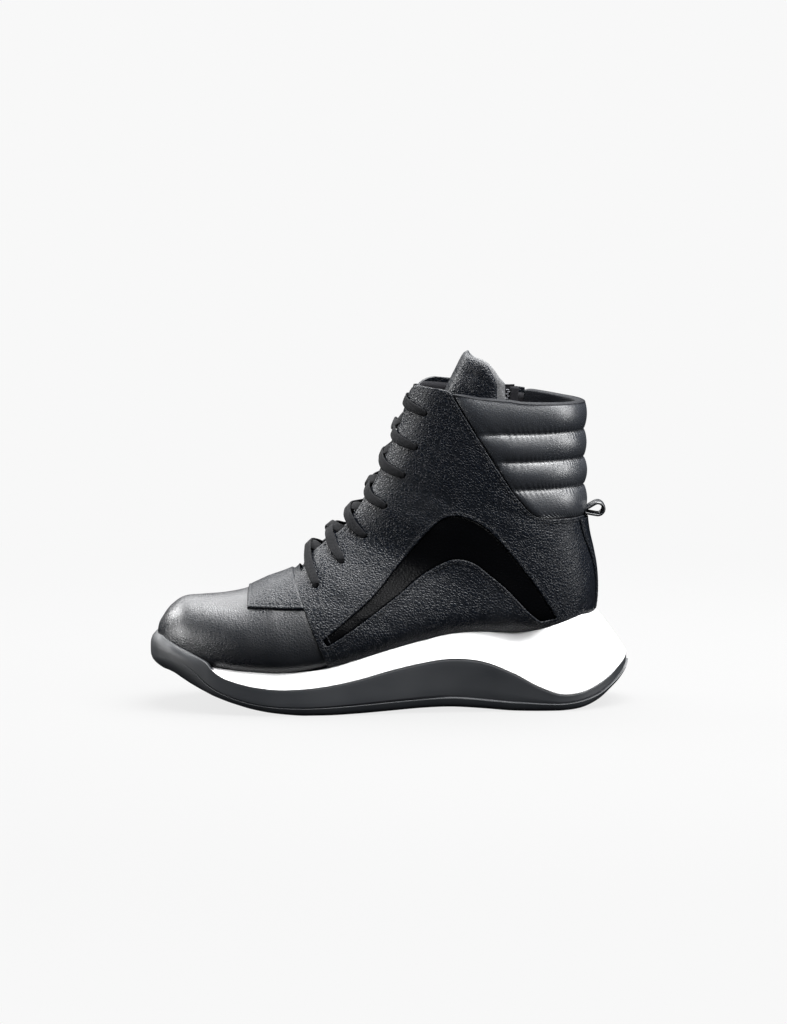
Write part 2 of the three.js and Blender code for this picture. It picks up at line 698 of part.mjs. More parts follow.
function heelStrip() {
  const place = (height, column, depth) => {
    const side = column < 0 ? LATERAL : MEDIAL;
    const rise = smooth((height - stripHeights.low) / (stripHeights.high - stripHeights.low));
    const half = lerp(stripHalf.low, stripHalf.high, Math.pow(rise, 1.5)) * ballWidth;
    const u = (v) => bisect(shaftRow, rimRow, (row) => heightShare(skinPoint(row, v, side)) > height);
    const v = bisect(0.5, 1, (w) => Math.abs(skinPoint(u(w), w, side).y) < Math.abs(column) * half, 18);
    return skin(u(v), column === 0 ? 1 : v, side, depth);
  };
  const rows = steps(stripHeights.low, stripHeights.high, 7);
  return slab(rows, [-1, -0.5, 0, 0.5, 1], place, -gap - overlay, 1).subtract(snugShell);
}

// Pull loop: a strap folded into an eye, its ends at the collar's lowest seam
const loopReach = 10.8;
const loopHeight = 9;
const loopRise = 2.2; // its ends over the seam
const loopTilt = 0.17;
const loopOffset = 0.75; // its ends behind the back seam, clear of the lowest roll

// Two circles and the tangents round them: one where the strap is folded, a small one at its ends
function loopOutline(radius, endRadius) {
  const foldX = loopReach - loopHeight / 2;
  const endX = loopStrap + gap;
  const turn = Math.acos((endRadius - radius) / (foldX - endX));
  const shape = new THREE.Shape();
  shape.absarc(foldX, 0, radius, -turn, turn, false);
  shape.absarc(endX, 0, endRadius, turn, 2 * Math.PI - turn, false);
  return shape;
}

function pullLoop() {
  const root = skinPoint(rimRow - 5, 1, LATERAL);
  const z = bed(root.x) + quiltSeams[0] * shaftHeight + loopRise;
  const strap = loopOutline(loopHeight / 2, loopStrap + gap);
  strap.holes.push(loopOutline(loopHeight / 2 - loopStrap, gap));
  const options = { depth: loopWidth, bevelEnabled: false, curveSegments: 6 };
  const geometry = new THREE.ExtrudeGeometry(strap, options);
  return solidFrom(geometry.rotateZ(loopTilt).rotateX(Math.PI / 2).translate(root.x + loopOffset, loopWidth / 2, z));
}

// Sole

const stations = soleRows.map((_, k) => k);

function soleHeights(k) {
  const [station, , , bottom, ledge, wave, rim] = soleRows[k];
  const x = station * soleLength - bumper;
  const rimZ = bed(Math.max(0, x)) + rim * lipHeight;
  const waveZ = wave * rimZ;
  const ledgeZ = ledge * waveZ;
  return { bottom: bottom * ledgeZ, ledge: ledgeZ, wave: waveZ, rim: rimZ };
}

function planPoint(k, side) {
  const row = soleRows[Math.abs(k)] ?? soleRows[2 * soleRows.length - 2 - k];
  const hand = k < 0 || k >= soleRows.length ? -side : side;
  const half = row[hand === LATERAL ? 1 : 2] * soleWidth;
  return new THREE.Vector2(row[0] * soleLength - bumper, hand * half);
}

// A point of the sole's outline, moved inwards in plan, at a height
function solePoint(k, side, inset, z) {
  const along = planPoint(k + 1, side).sub(planPoint(k - 1, side)).normalize();
  const inwards = new THREE.Vector2(-along.y * -side, along.x * -side);
  const p = planPoint(k, side).addScaledVector(inwards, inset);
  const tip = k === 0 || k === soleRows.length - 1;
  return new THREE.Vector3(p.x, tip ? 0 : p.y, z);
}

const bumperStations = [0.07, 0.13]; // where the toe's bumper passes into the side wall

// 1 at the bumper, 0 behind it
function toeShare(k) {
  const [from, to] = bumperStations;
  return 1 - smooth((soleRows[k][0] - from) / (to - from));
}

const wallInset = 1.2; // the side wall's top, from the sole's outline
const bumperInset = 3.4; // the same at the toe

// The sole's side from its underside up: inset as shares of wallInset and of bumperInset, and the
// level, from 0 at the underside over 1 at the ledge to 2 at the wave
const soleProfile = [
  [2.0, 1.2, 0.0],
  [1.1, 0.6, 0.14],
  [0.4, 0.2, 0.5],
  [0.1, 0.0, 0.85],
  [0.0, 0.0, 1.0],
  [0.7, 0.0, 1.06],
  [0.95, 0.03, 1.5],
  [1.0, 0.35, 1.8],
  [1.0, 1.0, 2.0],
];

function topInset(k) {
  return lerp(wallInset, bumperInset, toeShare(k));
}

function soleLayer([wallShare, bumperShare, level]) {
  const point = (k, side) => {
    const { bottom, ledge, wave } = soleHeights(k);
    const inset = lerp(wallShare * wallInset, bumperShare * bumperInset, toeShare(k));
    return solePoint(k, side, inset, level < 1 ? lerp(bottom, ledge, level) : lerp(ledge, wave, level - 1));
  };
  return { left: stations.map((k) => point(k, LATERAL)), right: stations.map((k) => point(k, MEDIAL)) };
}

function outsole() {
  let made = stack(soleProfile.map(soleLayer));
  for (const groove of treadGrooves()) made = made.subtract(groove);
  return made;
}

// Cross grooves in the flat forefoot and heel pads, closed at both ends
const foreGrooves = steps(0.3, 0.46, 5);
const heelGrooves = steps(0.765, 0.86, 3);

function treadGrooves() {
  return [...foreGrooves, ...heelGrooves].map((share) => {
    const k = soleRows.findIndex((row) => row[0] > share);
    const t = (share - soleRows[k - 1][0]) / (soleRows[k][0] - soleRows[k - 1][0]);
    const half = (column) => lerp(soleRows[k - 1][column], soleRows[k][column], t) * soleWidth - treadRim;
    const width = half(1) + half(2);
    const middle = (half(2) - half(1)) / 2;
    const x = share * soleLength - bumper;
    return box(grooveWidth, width, 2 * grooveDepth, x, middle, 0);
  });
}

const lipPivot = 0.84; // round the heel the lip is sought outwards from here, a share of length
const midsoleLean = 1.1; // over 1: its side is steeper low down

// Where the midsole's upper edge runs, just outside the upper at the rim's height
function lipPoint(k, side) {
  const base = solePoint(k, side, wallInset, 0);
  const { rim } = soleHeights(k);
  const pivotX = Math.min(base.x, lipPivot * length);
  const reach = new THREE.Vector2(base.x - pivotX, base.y);
  const outside = (t) => halfWidth(pivotX + reach.x * t, rim, side) < Math.abs(reach.y * t) + 1e-3;
  const edge = bisect(0.05, 1, outside);
  const p = reach.clone().multiplyScalar(edge).add(reach.clone().normalize().multiplyScalar(lip));
  return new THREE.Vector3(pivotX + p.x, p.y, rim);
}

function midsole() {
  const rows = stations.slice(midsoleFrom);
  const edgeRow = (side) => rows.map((k) => lipPoint(k, side));
  const edges = { [LATERAL]: edgeRow(LATERAL), [MEDIAL]: edgeRow(MEDIAL) };
  const point = (k, side, share) => {
    const { wave, rim } = soleHeights(k);
    const base = solePoint(k, side, topInset(k), wave + gap);
    const edge = edges[side][k - midsoleFrom];
    return base.lerp(edge, Math.pow(share, midsoleLean)).setZ(lerp(wave + gap, rim, share));
  };
  const layer = (share) => ({
    left: rows.map((k) => point(k, LATERAL, share)),
    right: rows.map((k) => point(k, MEDIAL, share)),
  });
  return stack([0, 0.25, 0.5, 0.75, 1].map(layer));
}

function insole() {
  const rows = steps(-0.01, 1.01, 16).map((share) => share * length);
  const edge = (x, side, z) => new THREE.Vector3(x, side * 0.6 * ballWidth, z);
  const layer = (rise) => ({
    left: rows.map((x) => edge(x, LATERAL, bed(x) + rise)),
    right: rows.map((x) => edge(x, MEDIAL, bed(x) + rise)),
  });
  const level = stack([layer(-6), layer(wall + gap + insoleThickness)]);
  return level.intersect(envelope(() => wall + gap, rimRow - 6));
}

// Laces: one crossing for each pair of eyelets, two strips that meet in the middle of the throat

const laceLift = 0.75; // over the leather
const laceArch = 1.2; // more where they cross

function laceStrip(eyelet, nextRow, side) {
  const { u, v } = eyeletPlace(eyelet, LATERAL);
  const s = section(u);
  const start = s.half[side] * sectionCurve(s, v).across;
  const places = [0, 0.3, 0.6, 0.9, 1.2];
  const points = places.map((t) => {
    const row = lerp(u, nextRow, t / 2);
    const y = start * (1 - t);
    const hand = y >= 0 ? side : -side;
    const lift = laceLift + laceArch * smooth((t - 0.4) / 0.5);
    const at = vAtHalfGap(row, Math.abs(y), hand);
    return { p: skin(row, at, hand, -lift), n: skinNormal(row, at, hand) };
  });
  const layers = points.map(({ p, n }, i) => {
    const before = points[Math.max(0, i - 1)].p;
    const after = points[Math.min(points.length - 1, i + 1)].p;
    const out = after.clone().sub(before).cross(n).normalize();
    const row = (rise) => [-0.5, 0.5].map((share) =>
      p.clone().addScaledVector(out, share * laceWidth).addScaledVector(n, rise),
    );
    return { left: row(laceThickness), right: row(0) };
  });
  return stack(layers);
}

function laceCrossing(i) {
  const here = eyeletPlace(eyelets[i], LATERAL).u;
  const spacing = i < eyelets.length - 1 ? eyeletPlace(eyelets[i + 1], LATERAL).u - here : 1.2;
  const next = here + spacing;
  return laceStrip(eyelets[i], next, LATERAL).add(laceStrip(eyelets[i], next, MEDIAL));
}

// Zip on the medial side: tapes and teeth behind the slit, a slider at the top and its pull tab

const zipTopShare = 0.93;
const teethHalf = 2.2;
const teethDepth = 0.4; // behind the quarter's surface

function zip() {
  const half = zipTape / 2;
  const rows = steps(zipBottom - 0.025, zipTopShare, 6);
  const behind = wall + 2 * gap;
  const tape = slab(rows, [-half, 0, half], zipPlace, behind, behind + zipTapeThickness);
  const toothRows = steps(zipBottom, zipTopShare - 0.01, 6);
  const teeth = slab(toothRows, [-teethHalf, teethHalf], zipPlace, teethDepth, behind + zipTapeThickness / 2);
  return tape.add(teeth);
}

const slider = { length: 11, width: 8.4, thickness: 2.2 };
const sliderLug = { width: 2.2, reach: 3.2, pin: 0.8, bore: 1.15, rim: 0.9 };
const pull = { width: 7.6, length: 22, thickness: 1.5, neck: 3.4, window: 0.45, windowReach: 0.3 };
const sliderClearance = 0.5; // between the slider and the quarter
const pivotDrop = 3; // below the slider's top

function sliderFrame() {
  const x = tabled(zipLine, sliderHeight) * length;
  const surface = across(x, bed(x) + sliderHeight * shaftHeight, MEDIAL, 0);
  const face = surface.y + sliderClearance;
  const top = surface.z + slider.length / 2;
  const pivotY = face + slider.thickness + sliderLug.reach / 2 + 0.2;
  const pivot = new THREE.Vector3(surface.x, pivotY, top - pivotDrop);
  return { surface, face, pivot };
}

function zipSlider() {
  const { surface, face, pivot } = sliderFrame();
  const root = face + slider.thickness / 2;
  const body = box(slider.width, slider.thickness, slider.length, surface.x, root, surface.z);
  const lugDepth = pivot.y + sliderLug.bore + sliderLug.rim - root;
  const lugHeight = 2 * (sliderLug.bore + sliderLug.rim);
  const lug = box(sliderLug.width, lugDepth, lugHeight, pivot.x, root + lugDepth / 2, pivot.z);
  const bore = bar(sliderLug.bore, sliderLug.width + 4, pivot, new THREE.Vector3(1, 0, 0), 12);
  return body.add(lug).subtract(bore);
}

function zipPull() {
  const { pivot } = sliderFrame();
  const armWidth = (pull.width - sliderLug.width - 2 * gap) / 2;
  const reach = pull.length - pull.neck;
  const plate = box(pull.width, pull.thickness, reach, pivot.x, pivot.y, pivot.z - pull.neck - reach / 2);
  const windowZ = pivot.z - pull.neck - reach * 0.75;
  const windowHeight = reach * pull.windowReach;
  const windowWidth = pull.width * pull.window;
  const window = box(windowWidth, 2 * pull.thickness, windowHeight, pivot.x, pivot.y, windowZ);
  let made = plate.subtract(window);
  for (const hand of [-1, 1]) {
    const x = pivot.x + hand * (sliderLug.width / 2 + gap + armWidth / 2);
    const armZ = pivot.z - pull.neck / 2 + 0.2;
    made = made.add(box(armWidth, pull.thickness, pull.neck + 1.4, x, pivot.y, armZ));
  }
  return made.add(bar(sliderLug.pin, pull.width - 1, pivot, new THREE.Vector3(1, 0, 0), 12));
}

// Assembly

const materials = {
  leather: new THREE.MeshStandardMaterial({ color: 0x1b1e24, roughness: 0.45 }),
  patent: new THREE.MeshStandardMaterial({ color: 0x0c0d10, roughness: 0.12 }),
  rubber: new THREE.MeshStandardMaterial({ color: 0x3c4046, roughness: 0.75 }),
  foam: new THREE.MeshStandardMaterial({ color: 0xf4f4f4, roughness: 0.6 }),
  lining: new THREE.MeshStandardMaterial({ color: 0x17181b, roughness: 0.9 }),
  cord: new THREE.MeshStandardMaterial({ color: 0x26272b, roughness: 0.85 }),
  metal: new THREE.MeshStandardMaterial({ color: 0x3a3b3f, roughness: 0.3, metalness: 1 }),
};

function meshOf(made, name, material) {
  const { vertProperties, triVerts } = made.getMesh();
  const geometry = new THREE.BufferGeometry();
  geometry.setAttribute("position", new THREE.BufferAttribute(vertProperties, 3));
  geometry.setIndex(new THREE.BufferAttribute(triVerts, 1));
  geometry.computeVertexNormals();
  const mesh = new THREE.Mesh(geometry, material);
  mesh.name = name;
  return mesh;
}

const clearance = envelope(() => -gap, rimRow);
const shoe = new THREE.Group();
shoe.add(
  meshOf(outsole().subtract(clearance), "outsole", materials.rubber),
  meshOf(midsole().subtract(clearance), "midsole", materials.foam),
  meshOf(upper(), "upper", materials.leather),
  meshOf(quiltedCollar(), "quilted_collar", materials.leather),
  meshOf(tongue(), "tongue", materials.leather),
  meshOf(vampTab(), "vamp_tab", materials.leather),
  meshOf(archBand(), "arch_band", materials.patent),
  meshOf(heelStrip(), "heel_strip", materials.leather),
  meshOf(pullLoop(), "pull_loop", materials.leather),
  meshOf(insole(), "insole", materials.lining),
  meshOf(zip(), "zip", materials.cord),
  meshOf(zipSlider(), "zip_slider", materials.metal),
  meshOf(zipPull(), "zip_pull", materials.metal),
);
eyelets.forEach((_, i) => shoe.add(meshOf(laceCrossing(i), `lace_${i + 1}`, materials.cord)));

// The shoe stands with the middle of its box over the origin
const bounds = new THREE.Box3().setFromObject(shoe);
const middle = bounds.getCenter(new THREE.Vector3());
shoe.position.set(-middle.x, -middle.y, -bounds.min.z);

const part = new THREE.Group();
part.add(shoe);
export default part;
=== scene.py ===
"""A left high-top sneaker boot: leather upper, quilted collar, white wave midsole, dark cup sole.

The shoe's own sizes are in millimetres: x from the toe tip to the heel, y < 0 on the outer (lateral)
side, z up from the floor. Every mesh is moved into the frame's metres when it is made.

A place on the upper is (u, v): u counts the rows of UPPER_ROWS, v runs from 0 at a section's top to 1
at its foot.
"""

import math

import bmesh
import bpy
import numpy as np
from mathutils import Matrix, Vector, geometry, kdtree


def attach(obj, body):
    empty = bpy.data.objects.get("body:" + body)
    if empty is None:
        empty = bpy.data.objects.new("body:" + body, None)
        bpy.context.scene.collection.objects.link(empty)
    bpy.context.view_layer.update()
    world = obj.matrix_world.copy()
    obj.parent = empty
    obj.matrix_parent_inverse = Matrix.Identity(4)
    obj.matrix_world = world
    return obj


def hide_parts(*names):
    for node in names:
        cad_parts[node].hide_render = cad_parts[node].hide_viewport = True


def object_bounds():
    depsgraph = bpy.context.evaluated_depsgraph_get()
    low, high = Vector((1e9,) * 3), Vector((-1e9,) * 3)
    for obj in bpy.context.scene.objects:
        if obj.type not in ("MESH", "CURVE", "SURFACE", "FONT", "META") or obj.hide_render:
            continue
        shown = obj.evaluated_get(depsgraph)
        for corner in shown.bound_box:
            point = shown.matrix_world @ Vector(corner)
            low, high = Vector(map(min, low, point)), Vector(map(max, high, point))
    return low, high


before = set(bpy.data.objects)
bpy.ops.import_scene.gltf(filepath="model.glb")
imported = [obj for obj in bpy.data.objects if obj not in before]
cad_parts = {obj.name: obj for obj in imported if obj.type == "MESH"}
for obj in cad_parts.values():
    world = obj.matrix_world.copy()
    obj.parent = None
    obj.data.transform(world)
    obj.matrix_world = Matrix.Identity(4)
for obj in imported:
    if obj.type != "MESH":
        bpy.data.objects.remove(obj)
cad_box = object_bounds()

# Driving dimensions, the same as the CAD's
LENGTH = 256.0
BALL_WIDTH = 94.0
SHAFT = 150.0
FOREFOOT_BED = 18.0
HEEL_BED = 41.0
TOE_SPRING = 9.0
WALL = 2.4
BUMPER = 4.1
HEEL_TAIL = 17.9
SOLE_WIDTH = 100.0
LIP_HEIGHT = 16.0
LIP = 1.8
QUARTER_STEP = 1.2
PAD_DEPTH = 4.0
PAD_LINING = 2.2
ZIP_SLIT = 7.0
ZIP_TAPE = 13.0
LATERAL = -1
MEDIAL = 1
SIDES = (LATERAL, MEDIAL)
MM = 0.001

# The shoe's millimetres in the frame: the sole's toe is the box's low end
ORIGIN = np.array([cad_box[0][0] + BUMPER * MM, cad_box[0][1] + SOLE_WIDTH / 2 * MM, 0.0])

# Sections of the upper: top x, top z, low x, low z, lateral and medial half width, widest place,
# and the roundness above and below it. The columns are shares as in the CAD.
UPPER_ROWS = np.array([
    [0.0, 0.073, 0.0, 0.073, 0.0, 0.0, 0.5, 2.0, 2.0],
    [0.003, 0.128, 0.004, 0.025, 0.085, 0.101, 0.55, 2.0, 2.2],
    [0.013, 0.167, 0.015, 0.007, 0.149, 0.176, 0.58, 2.1, 2.4],
    [0.032, 0.216, 0.033, 0.0, 0.213, 0.25, 0.6, 2.2, 2.6],
    [0.062, 0.259, 0.064, 0.0, 0.287, 0.324, 0.62, 2.2, 2.8],
    [0.105, 0.278, 0.107, 0.0, 0.356, 0.386, 0.64, 2.2, 3.0],
    [0.154, 0.295, 0.154, 0.0, 0.413, 0.428, 0.66, 2.2, 3.0],
    [0.205, 0.321, 0.216, 0.0, 0.46, 0.461, 0.68, 2.1, 3.0],
    [0.255, 0.363, 0.295, 0.0, 0.494, 0.481, 0.7, 2.0, 3.0],
    [0.308, 0.406, 0.4, 0.0, 0.506, 0.46, 0.71, 2.0, 3.0],
    [0.33, 0.443, 0.49, 0.0, 0.487, 0.426, 0.7, 1.95, 2.9],
    [0.349, 0.482, 0.576, 0.0, 0.455, 0.396, 0.69, 1.95, 2.8],
    [0.367, 0.508, 0.662, 0.0, 0.421, 0.379, 0.68, 1.95, 2.8],
    [0.382, 0.527, 0.748, 0.0, 0.394, 0.368, 0.68, 2.0, 2.8],
    [0.396, 0.543, 0.83, 0.0, 0.377, 0.362, 0.68, 2.1, 2.8],
    [0.408, 0.556, 0.9, 0.0, 0.368, 0.357, 0.68, 2.15, 2.8],
    [0.418, 0.569, 0.951, 0.006, 0.362, 0.354, 0.67, 2.2, 2.7],
    [0.428, 0.58, 0.98, 0.037, 0.357, 0.351, 0.66, 2.3, 2.6],
    [0.438, 0.593, 0.993, 0.097, 0.353, 0.349, 0.64, 2.4, 2.5],
    [0.45, 0.611, 0.997, 0.17, 0.349, 0.346, 0.62, 2.5, 2.4],
    [0.462, 0.631, 0.995, 0.247, 0.345, 0.343, 0.6, 2.6, 2.3],
    [0.474, 0.652, 0.988, 0.317, 0.34, 0.339, 0.59, 2.65, 2.25],
    [0.488, 0.68, 0.979, 0.387, 0.336, 0.336, 0.58, 2.7, 2.2],
    [0.501, 0.714, 0.974, 0.46, 0.334, 0.334, 0.57, 2.75, 2.2],
    [0.516, 0.762, 0.973, 0.54, 0.333, 0.333, 0.56, 2.8, 2.2],
    [0.532, 0.814, 0.973, 0.627, 0.333, 0.333, 0.56, 2.8, 2.2],
    [0.55, 0.87, 0.973, 0.717, 0.333, 0.333, 0.56, 2.8, 2.2],
    [0.566, 0.942, 0.974, 0.81, 0.334, 0.334, 0.56, 2.8, 2.2],
    [0.579, 1.01, 0.974, 0.9, 0.335, 0.335, 0.56, 2.8, 2.2],
    [0.602, 1.08, 0.974, 0.987, 0.336, 0.336, 0.56, 2.8, 2.2],
    [0.626, 1.15, 0.974, 1.073, 0.337, 0.337, 0.56, 2.8, 2.2],
])
STEP_ROW = 9
SHAFT_ROW = 16
RIM_ROW = 28

# Sections of the sole: station, lateral and medial half width, bottom, ledge, wave and rim
SOLE_ROWS = np.array([
    [0.0, 0.0, 0.0, 0.77, 0.74, 1.0, 0.97],
    [0.003, 0.075, 0.085, 0.77, 0.74, 1.0, 0.97],
    [0.009, 0.13, 0.15, 0.76, 0.74, 1.0, 0.96],
    [0.018, 0.176, 0.202, 0.74, 0.75, 1.0, 0.94],
    [0.031, 0.22, 0.25, 0.73, 0.77, 1.0, 0.89],
    [0.052, 0.28, 0.31, 0.68, 0.8, 1.0, 0.82],
    [0.088, 0.345, 0.37, 0.6, 0.76, 1.0, 0.69],
    [0.117, 0.385, 0.402, 0.66, 0.61, 1.0, 0.53],
    [0.131, 0.403, 0.416, 0.675, 0.6, 0.985, 0.33],
    [0.153, 0.425, 0.432, 0.68, 0.57, 0.845, 0.33],
    [0.185, 0.45, 0.45, 0.62, 0.49, 0.755, 0.325],
    [0.221, 0.472, 0.463, 0.47, 0.405, 0.68, 0.34],
    [0.268, 0.49, 0.474, 0.22, 0.33, 0.64, 0.335],
    [0.322, 0.5, 0.47, 0.0, 0.29, 0.635, 0.37],
    [0.376, 0.494, 0.448, 0.0, 0.285, 0.645, 0.385],
    [0.437, 0.474, 0.414, 0.1, 0.285, 0.655, 0.44],
    [0.502, 0.446, 0.386, 0.22, 0.28, 0.69, 0.46],
    [0.567, 0.424, 0.372, 0.33, 0.28, 0.71, 0.43],
    [0.631, 0.411, 0.372, 0.34, 0.28, 0.7, 0.4],
    [0.696, 0.405, 0.382, 0.24, 0.245, 0.65, 0.245],
    [0.754, 0.406, 0.393, 0.06, 0.245, 0.52, 0.13],
    [0.808, 0.41, 0.403, 0.0, 0.325, 0.318, 0.235],
    [0.854, 0.404, 0.398, 0.0, 0.44, 0.2, 0.405],
    [0.897, 0.369, 0.365, 0.17, 0.54, 0.195, 0.58],
    [0.933, 0.31, 0.308, 0.53, 0.61, 0.254, 0.73],
    [0.96, 0.244, 0.243, 0.77, 0.71, 0.333, 0.74],
    [0.98, 0.174, 0.174, 0.83, 0.76, 0.418, 0.74],
    [0.995, 0.096, 0.096, 0.86, 0.83, 0.49, 0.74],
    [1.0, 0.0, 0.0, 0.88, 0.85, 0.53, 0.74],
])
MIDSOLE_FROM = 0.131

# The arch band in side view: upper edge x, z and lower edge x, z
BAND_ROWS = np.array([
    [0.379, 0.158, 0.388, 0.129],
    [0.435, 0.216, 0.443, 0.169],
    [0.492, 0.275, 0.502, 0.214],
    [0.537, 0.344, 0.554, 0.256],
    [0.576, 0.401, 0.595, 0.294],
    [0.615, 0.457, 0.63, 0.315],
    [0.646, 0.491, 0.664, 0.328],
    [0.677, 0.495, 0.691, 0.322],
    [0.709, 0.474, 0.722, 0.296],
    [0.748, 0.428, 0.754, 0.248],
    [0.787, 0.357, 0.789, 0.196],
    [0.822, 0.284, 0.82, 0.141],
    [0.857, 0.204, 0.841, 0.102],
    [0.886, 0.127, 0.86, 0.073],
    [0.904, 0.074, 0.868, 0.062],
])

QUILT_SEAMS = [0.455, 0.573, 0.68, 0.787]
# The quilted collar's front edge on the lateral side, x at a height
QUILT_FRONT = np.array([
    [0.455, 0.885],
    [0.459, 0.871],
    [0.468, 0.859],
    [0.48, 0.848],
    [0.499, 0.836],
    [0.563, 0.806],
    [0.66, 0.769],
    [0.767, 0.732],
    [0.877, 0.696],
    [0.977, 0.665],
    [1.08, 0.632],
])
ZIP_LINE = np.array([[0.17, 0.771], [0.56, 0.787], [1.08, 0.81]])
ZIP_BOTTOM = 0.2

# Half the gap between the eyestays by row of the upper, lateral and medial
THROAT_ROWS = np.array([
    [9.0, 0.2, 0.2],
    [10.0, 0.17, 0.17],
    [10.6, 0.13, 0.13],
    [11.4, 0.112, 0.112],
    [14.0, 0.115, 0.115],
    [19.0, 0.108, 0.12],
    [22.0, 0.095, 0.135],
    [25.0, 0.09, 0.155],
    [27.2, 0.092, 0.185],
    [27.5, 0.102, 0.205],
    [27.75, 0.123, 0.225],
    [27.9, 0.148, 0.245],
    [28.0, 0.18, 0.27],
    [28.6, 0.3, 0.37],
])

EYELETS = np.array([
    [0.364, 0.358],
    [0.421, 0.428],
    [0.473, 0.5],
    [0.519, 0.595],
    [0.561, 0.694],
    [0.589, 0.789],
    [0.611, 0.909],
])


# Small helpers

def smooth(t):
    c = np.clip(t, 0.0, 1.0)
    return c * c * (3 - 2 * c)


def lerp(a, b, t):
    return a + (b - a) * t


def floats(*values):
    return np.broadcast_arrays(*(np.asarray(value, float) for value in values))


def line(a, b):
    """Points from two coordinates, either of which may be one number."""
    return np.stack(np.broadcast_arrays(a, b), -1)


def unit(vectors):
    return vectors / np.maximum(np.linalg.norm(vectors, axis=-1, keepdims=True), 1e-9)


def ridge(distance, width):
    """1 on a line, fading to 0 within about twice a width."""
    return np.exp(-(distance / width) ** 2)


def grid(rows, columns):
    return np.meshgrid(rows, columns, indexing="ij")


def side_of(column):
    return np.where(column < 0, LATERAL, MEDIAL)


def tabled(rows, key, column=1):
    return np.interp(key, rows[:, 0], rows[:, column])


def catmull(rows, u):
    """Rows of a table at row numbers that may lie between two of them. The table has one extra row
    before its first and one after its last."""
    i = np.clip(np.floor(u).astype(int), 0, len(rows) - 4)
    t = (u - i)[..., None]
    p, q, r, s = rows[i], rows[i + 1], rows[i + 2], rows[i + 3]
    return q + 0.5 * t * (r - p + t * (2 * p - 5 * q + 4 * r - s + t * (3 * (q - r) + s - p)))


def bisect(low, high, is_past, count=24):
    """Halves intervals until they hold the places where a rising test turns true."""
    a, b = np.asarray(low, float), np.asarray(high, float)
    for _ in range(count):
        m = (a + b) / 2
        past = is_past(m)
        b = np.where(past, m, b)
        a = np.where(past, a, m)
    return (a + b) / 2


BED_LOW = 0.295  # where the toe's rise ends and the heel's begins, as a share of the length
BED_RISE = 0.488


def bed(x):
    """Height of the foot bed, the upper's underside."""
    share = x / LENGTH
    toe = np.maximum(0.0, (BED_LOW - share) / BED_LOW)
    rise = (HEEL_BED - FOREFOOT_BED) * smooth((share - BED_LOW) / BED_RISE)
    return FOREFOOT_BED + TOE_SPRING * toe**2 + rise


# The upper's surface

def with_end_rows(rows):
    """The rows with the first one mirrored ahead of them and the last one carried on behind."""
    mirrored = rows[1][[2, 3, 0, 1, 4, 5, 6, 7, 8]] * [1, 1, 1, 1, -1, -1, 1, 1, 1]
    return np.vstack([mirrored, rows, 2 * rows[-1] - rows[-2]])


UPPER_TABLE = with_end_rows(UPPER_ROWS)
LAST_ROW = len(UPPER_ROWS) - 1
# The rim's lift over its sections: shares of the shaft's height, and of the way from its front to its back
MEDIAL_LIFT, MEDIAL_LIFT_END = 0.036, 0.89
LATERAL_LIFT, LATERAL_LIFT_FROM, LATERAL_LIFT_FADE = 0.022, 0.12, 0.2
LATERAL_DIP = 0.012
LIFT_FROM, LIFT_FADE = 0.6, 0.35
RIM_FRONT, RIM_REACH = 0.595, 0.379
RIM_MIDDLE = 0.12
SHAFT_HALF = 0.3  # of the ball width, about


def rim_shift(x, y, z):
    """How far the rim stands above its section's own height."""
    high = smooth(((z - bed(x)) / SHAFT - LIFT_FROM) / LIFT_FADE)
    t = np.clip((x / LENGTH - RIM_FRONT) / RIM_REACH, 0, 1)
    lift = LATERAL_LIFT * (1 - smooth((t - LATERAL_LIFT_FROM) / LATERAL_LIFT_FADE))
    lateral = lift - LATERAL_DIP * np.sin(np.pi * t)
    shift = np.where(y > 0, MEDIAL_LIFT * np.maximum(0, 1 - t / MEDIAL_LIFT_END), lateral)
    return shift * SHAFT * high * smooth(np.abs(y) / (RIM_MIDDLE * BALL_WIDTH))


def section(u):
    """The columns of the upper's section at a row, its two end places in millimetres."""
    w = np.moveaxis(catmull(UPPER_TABLE, np.asarray(u, float)), -1, 0)
    top_x, low_x = w[0] * LENGTH, w[2] * LENGTH
    return top_x, bed(top_x) + w[1] * SHAFT, low_x, bed(low_x) + w[3] * SHAFT, *w[4:]


def bare_point(u, v, side):
    """A point of the surface before the rim is lifted."""
    u, v, side = floats(u, v, side)
    hand = np.where((v < 0) | (v > 1), -side, side)
    v = np.where(v < 0, -v, np.where(v > 1, 2 - v, v))
    top_x, top_z, low_x, low_z, lateral, medial, widest, above, below = section(u)
    upper = v <= 0.5
    turn = np.where(upper, v, 1 - v) * np.pi
    power = 2 / np.where(upper, above, below)
    along = np.abs(np.cos(turn)) ** power
    down = np.where(upper, widest * (1 - along), widest + (1 - widest) * along)
    half = np.where(hand < 0, lateral, medial) * BALL_WIDTH
    y = hand * half * np.abs(np.sin(turn)) ** power
    return np.stack([lerp(top_x, low_x, down), y, lerp(top_z, low_z, down)], -1)


def skin_point(u, v, side):
    p = bare_point(u, v, side)
    p[..., 2] += rim_shift(p[..., 0], p[..., 1], p[..., 2])
    return p


def skin_normal(u, v, side, point_at=skin_point):
    u, v, side = floats(u, v, side)
    step_u = np.minimum(0.04, np.maximum(u, 1e-3))
    step_v = 0.012
    along_u = point_at(u + step_u, v, side) - point_at(u - step_u, v, side)
    along_v = point_at(u, v + step_v, side) - point_at(u, v - step_v, side)
    normal = unit(np.cross(along_v, along_u) * -side[..., None])
    return np.where(u[..., None] < 0.01, np.array([-1.0, 0, 0]), normal)


def skin(u, v, side, depth=0.0, point_at=skin_point):
    """A point of the upper's surface, moved inwards by a depth."""
    return point_at(u, v, side) - skin_normal(u, v, side, point_at) * np.asarray(depth, float)[..., None]


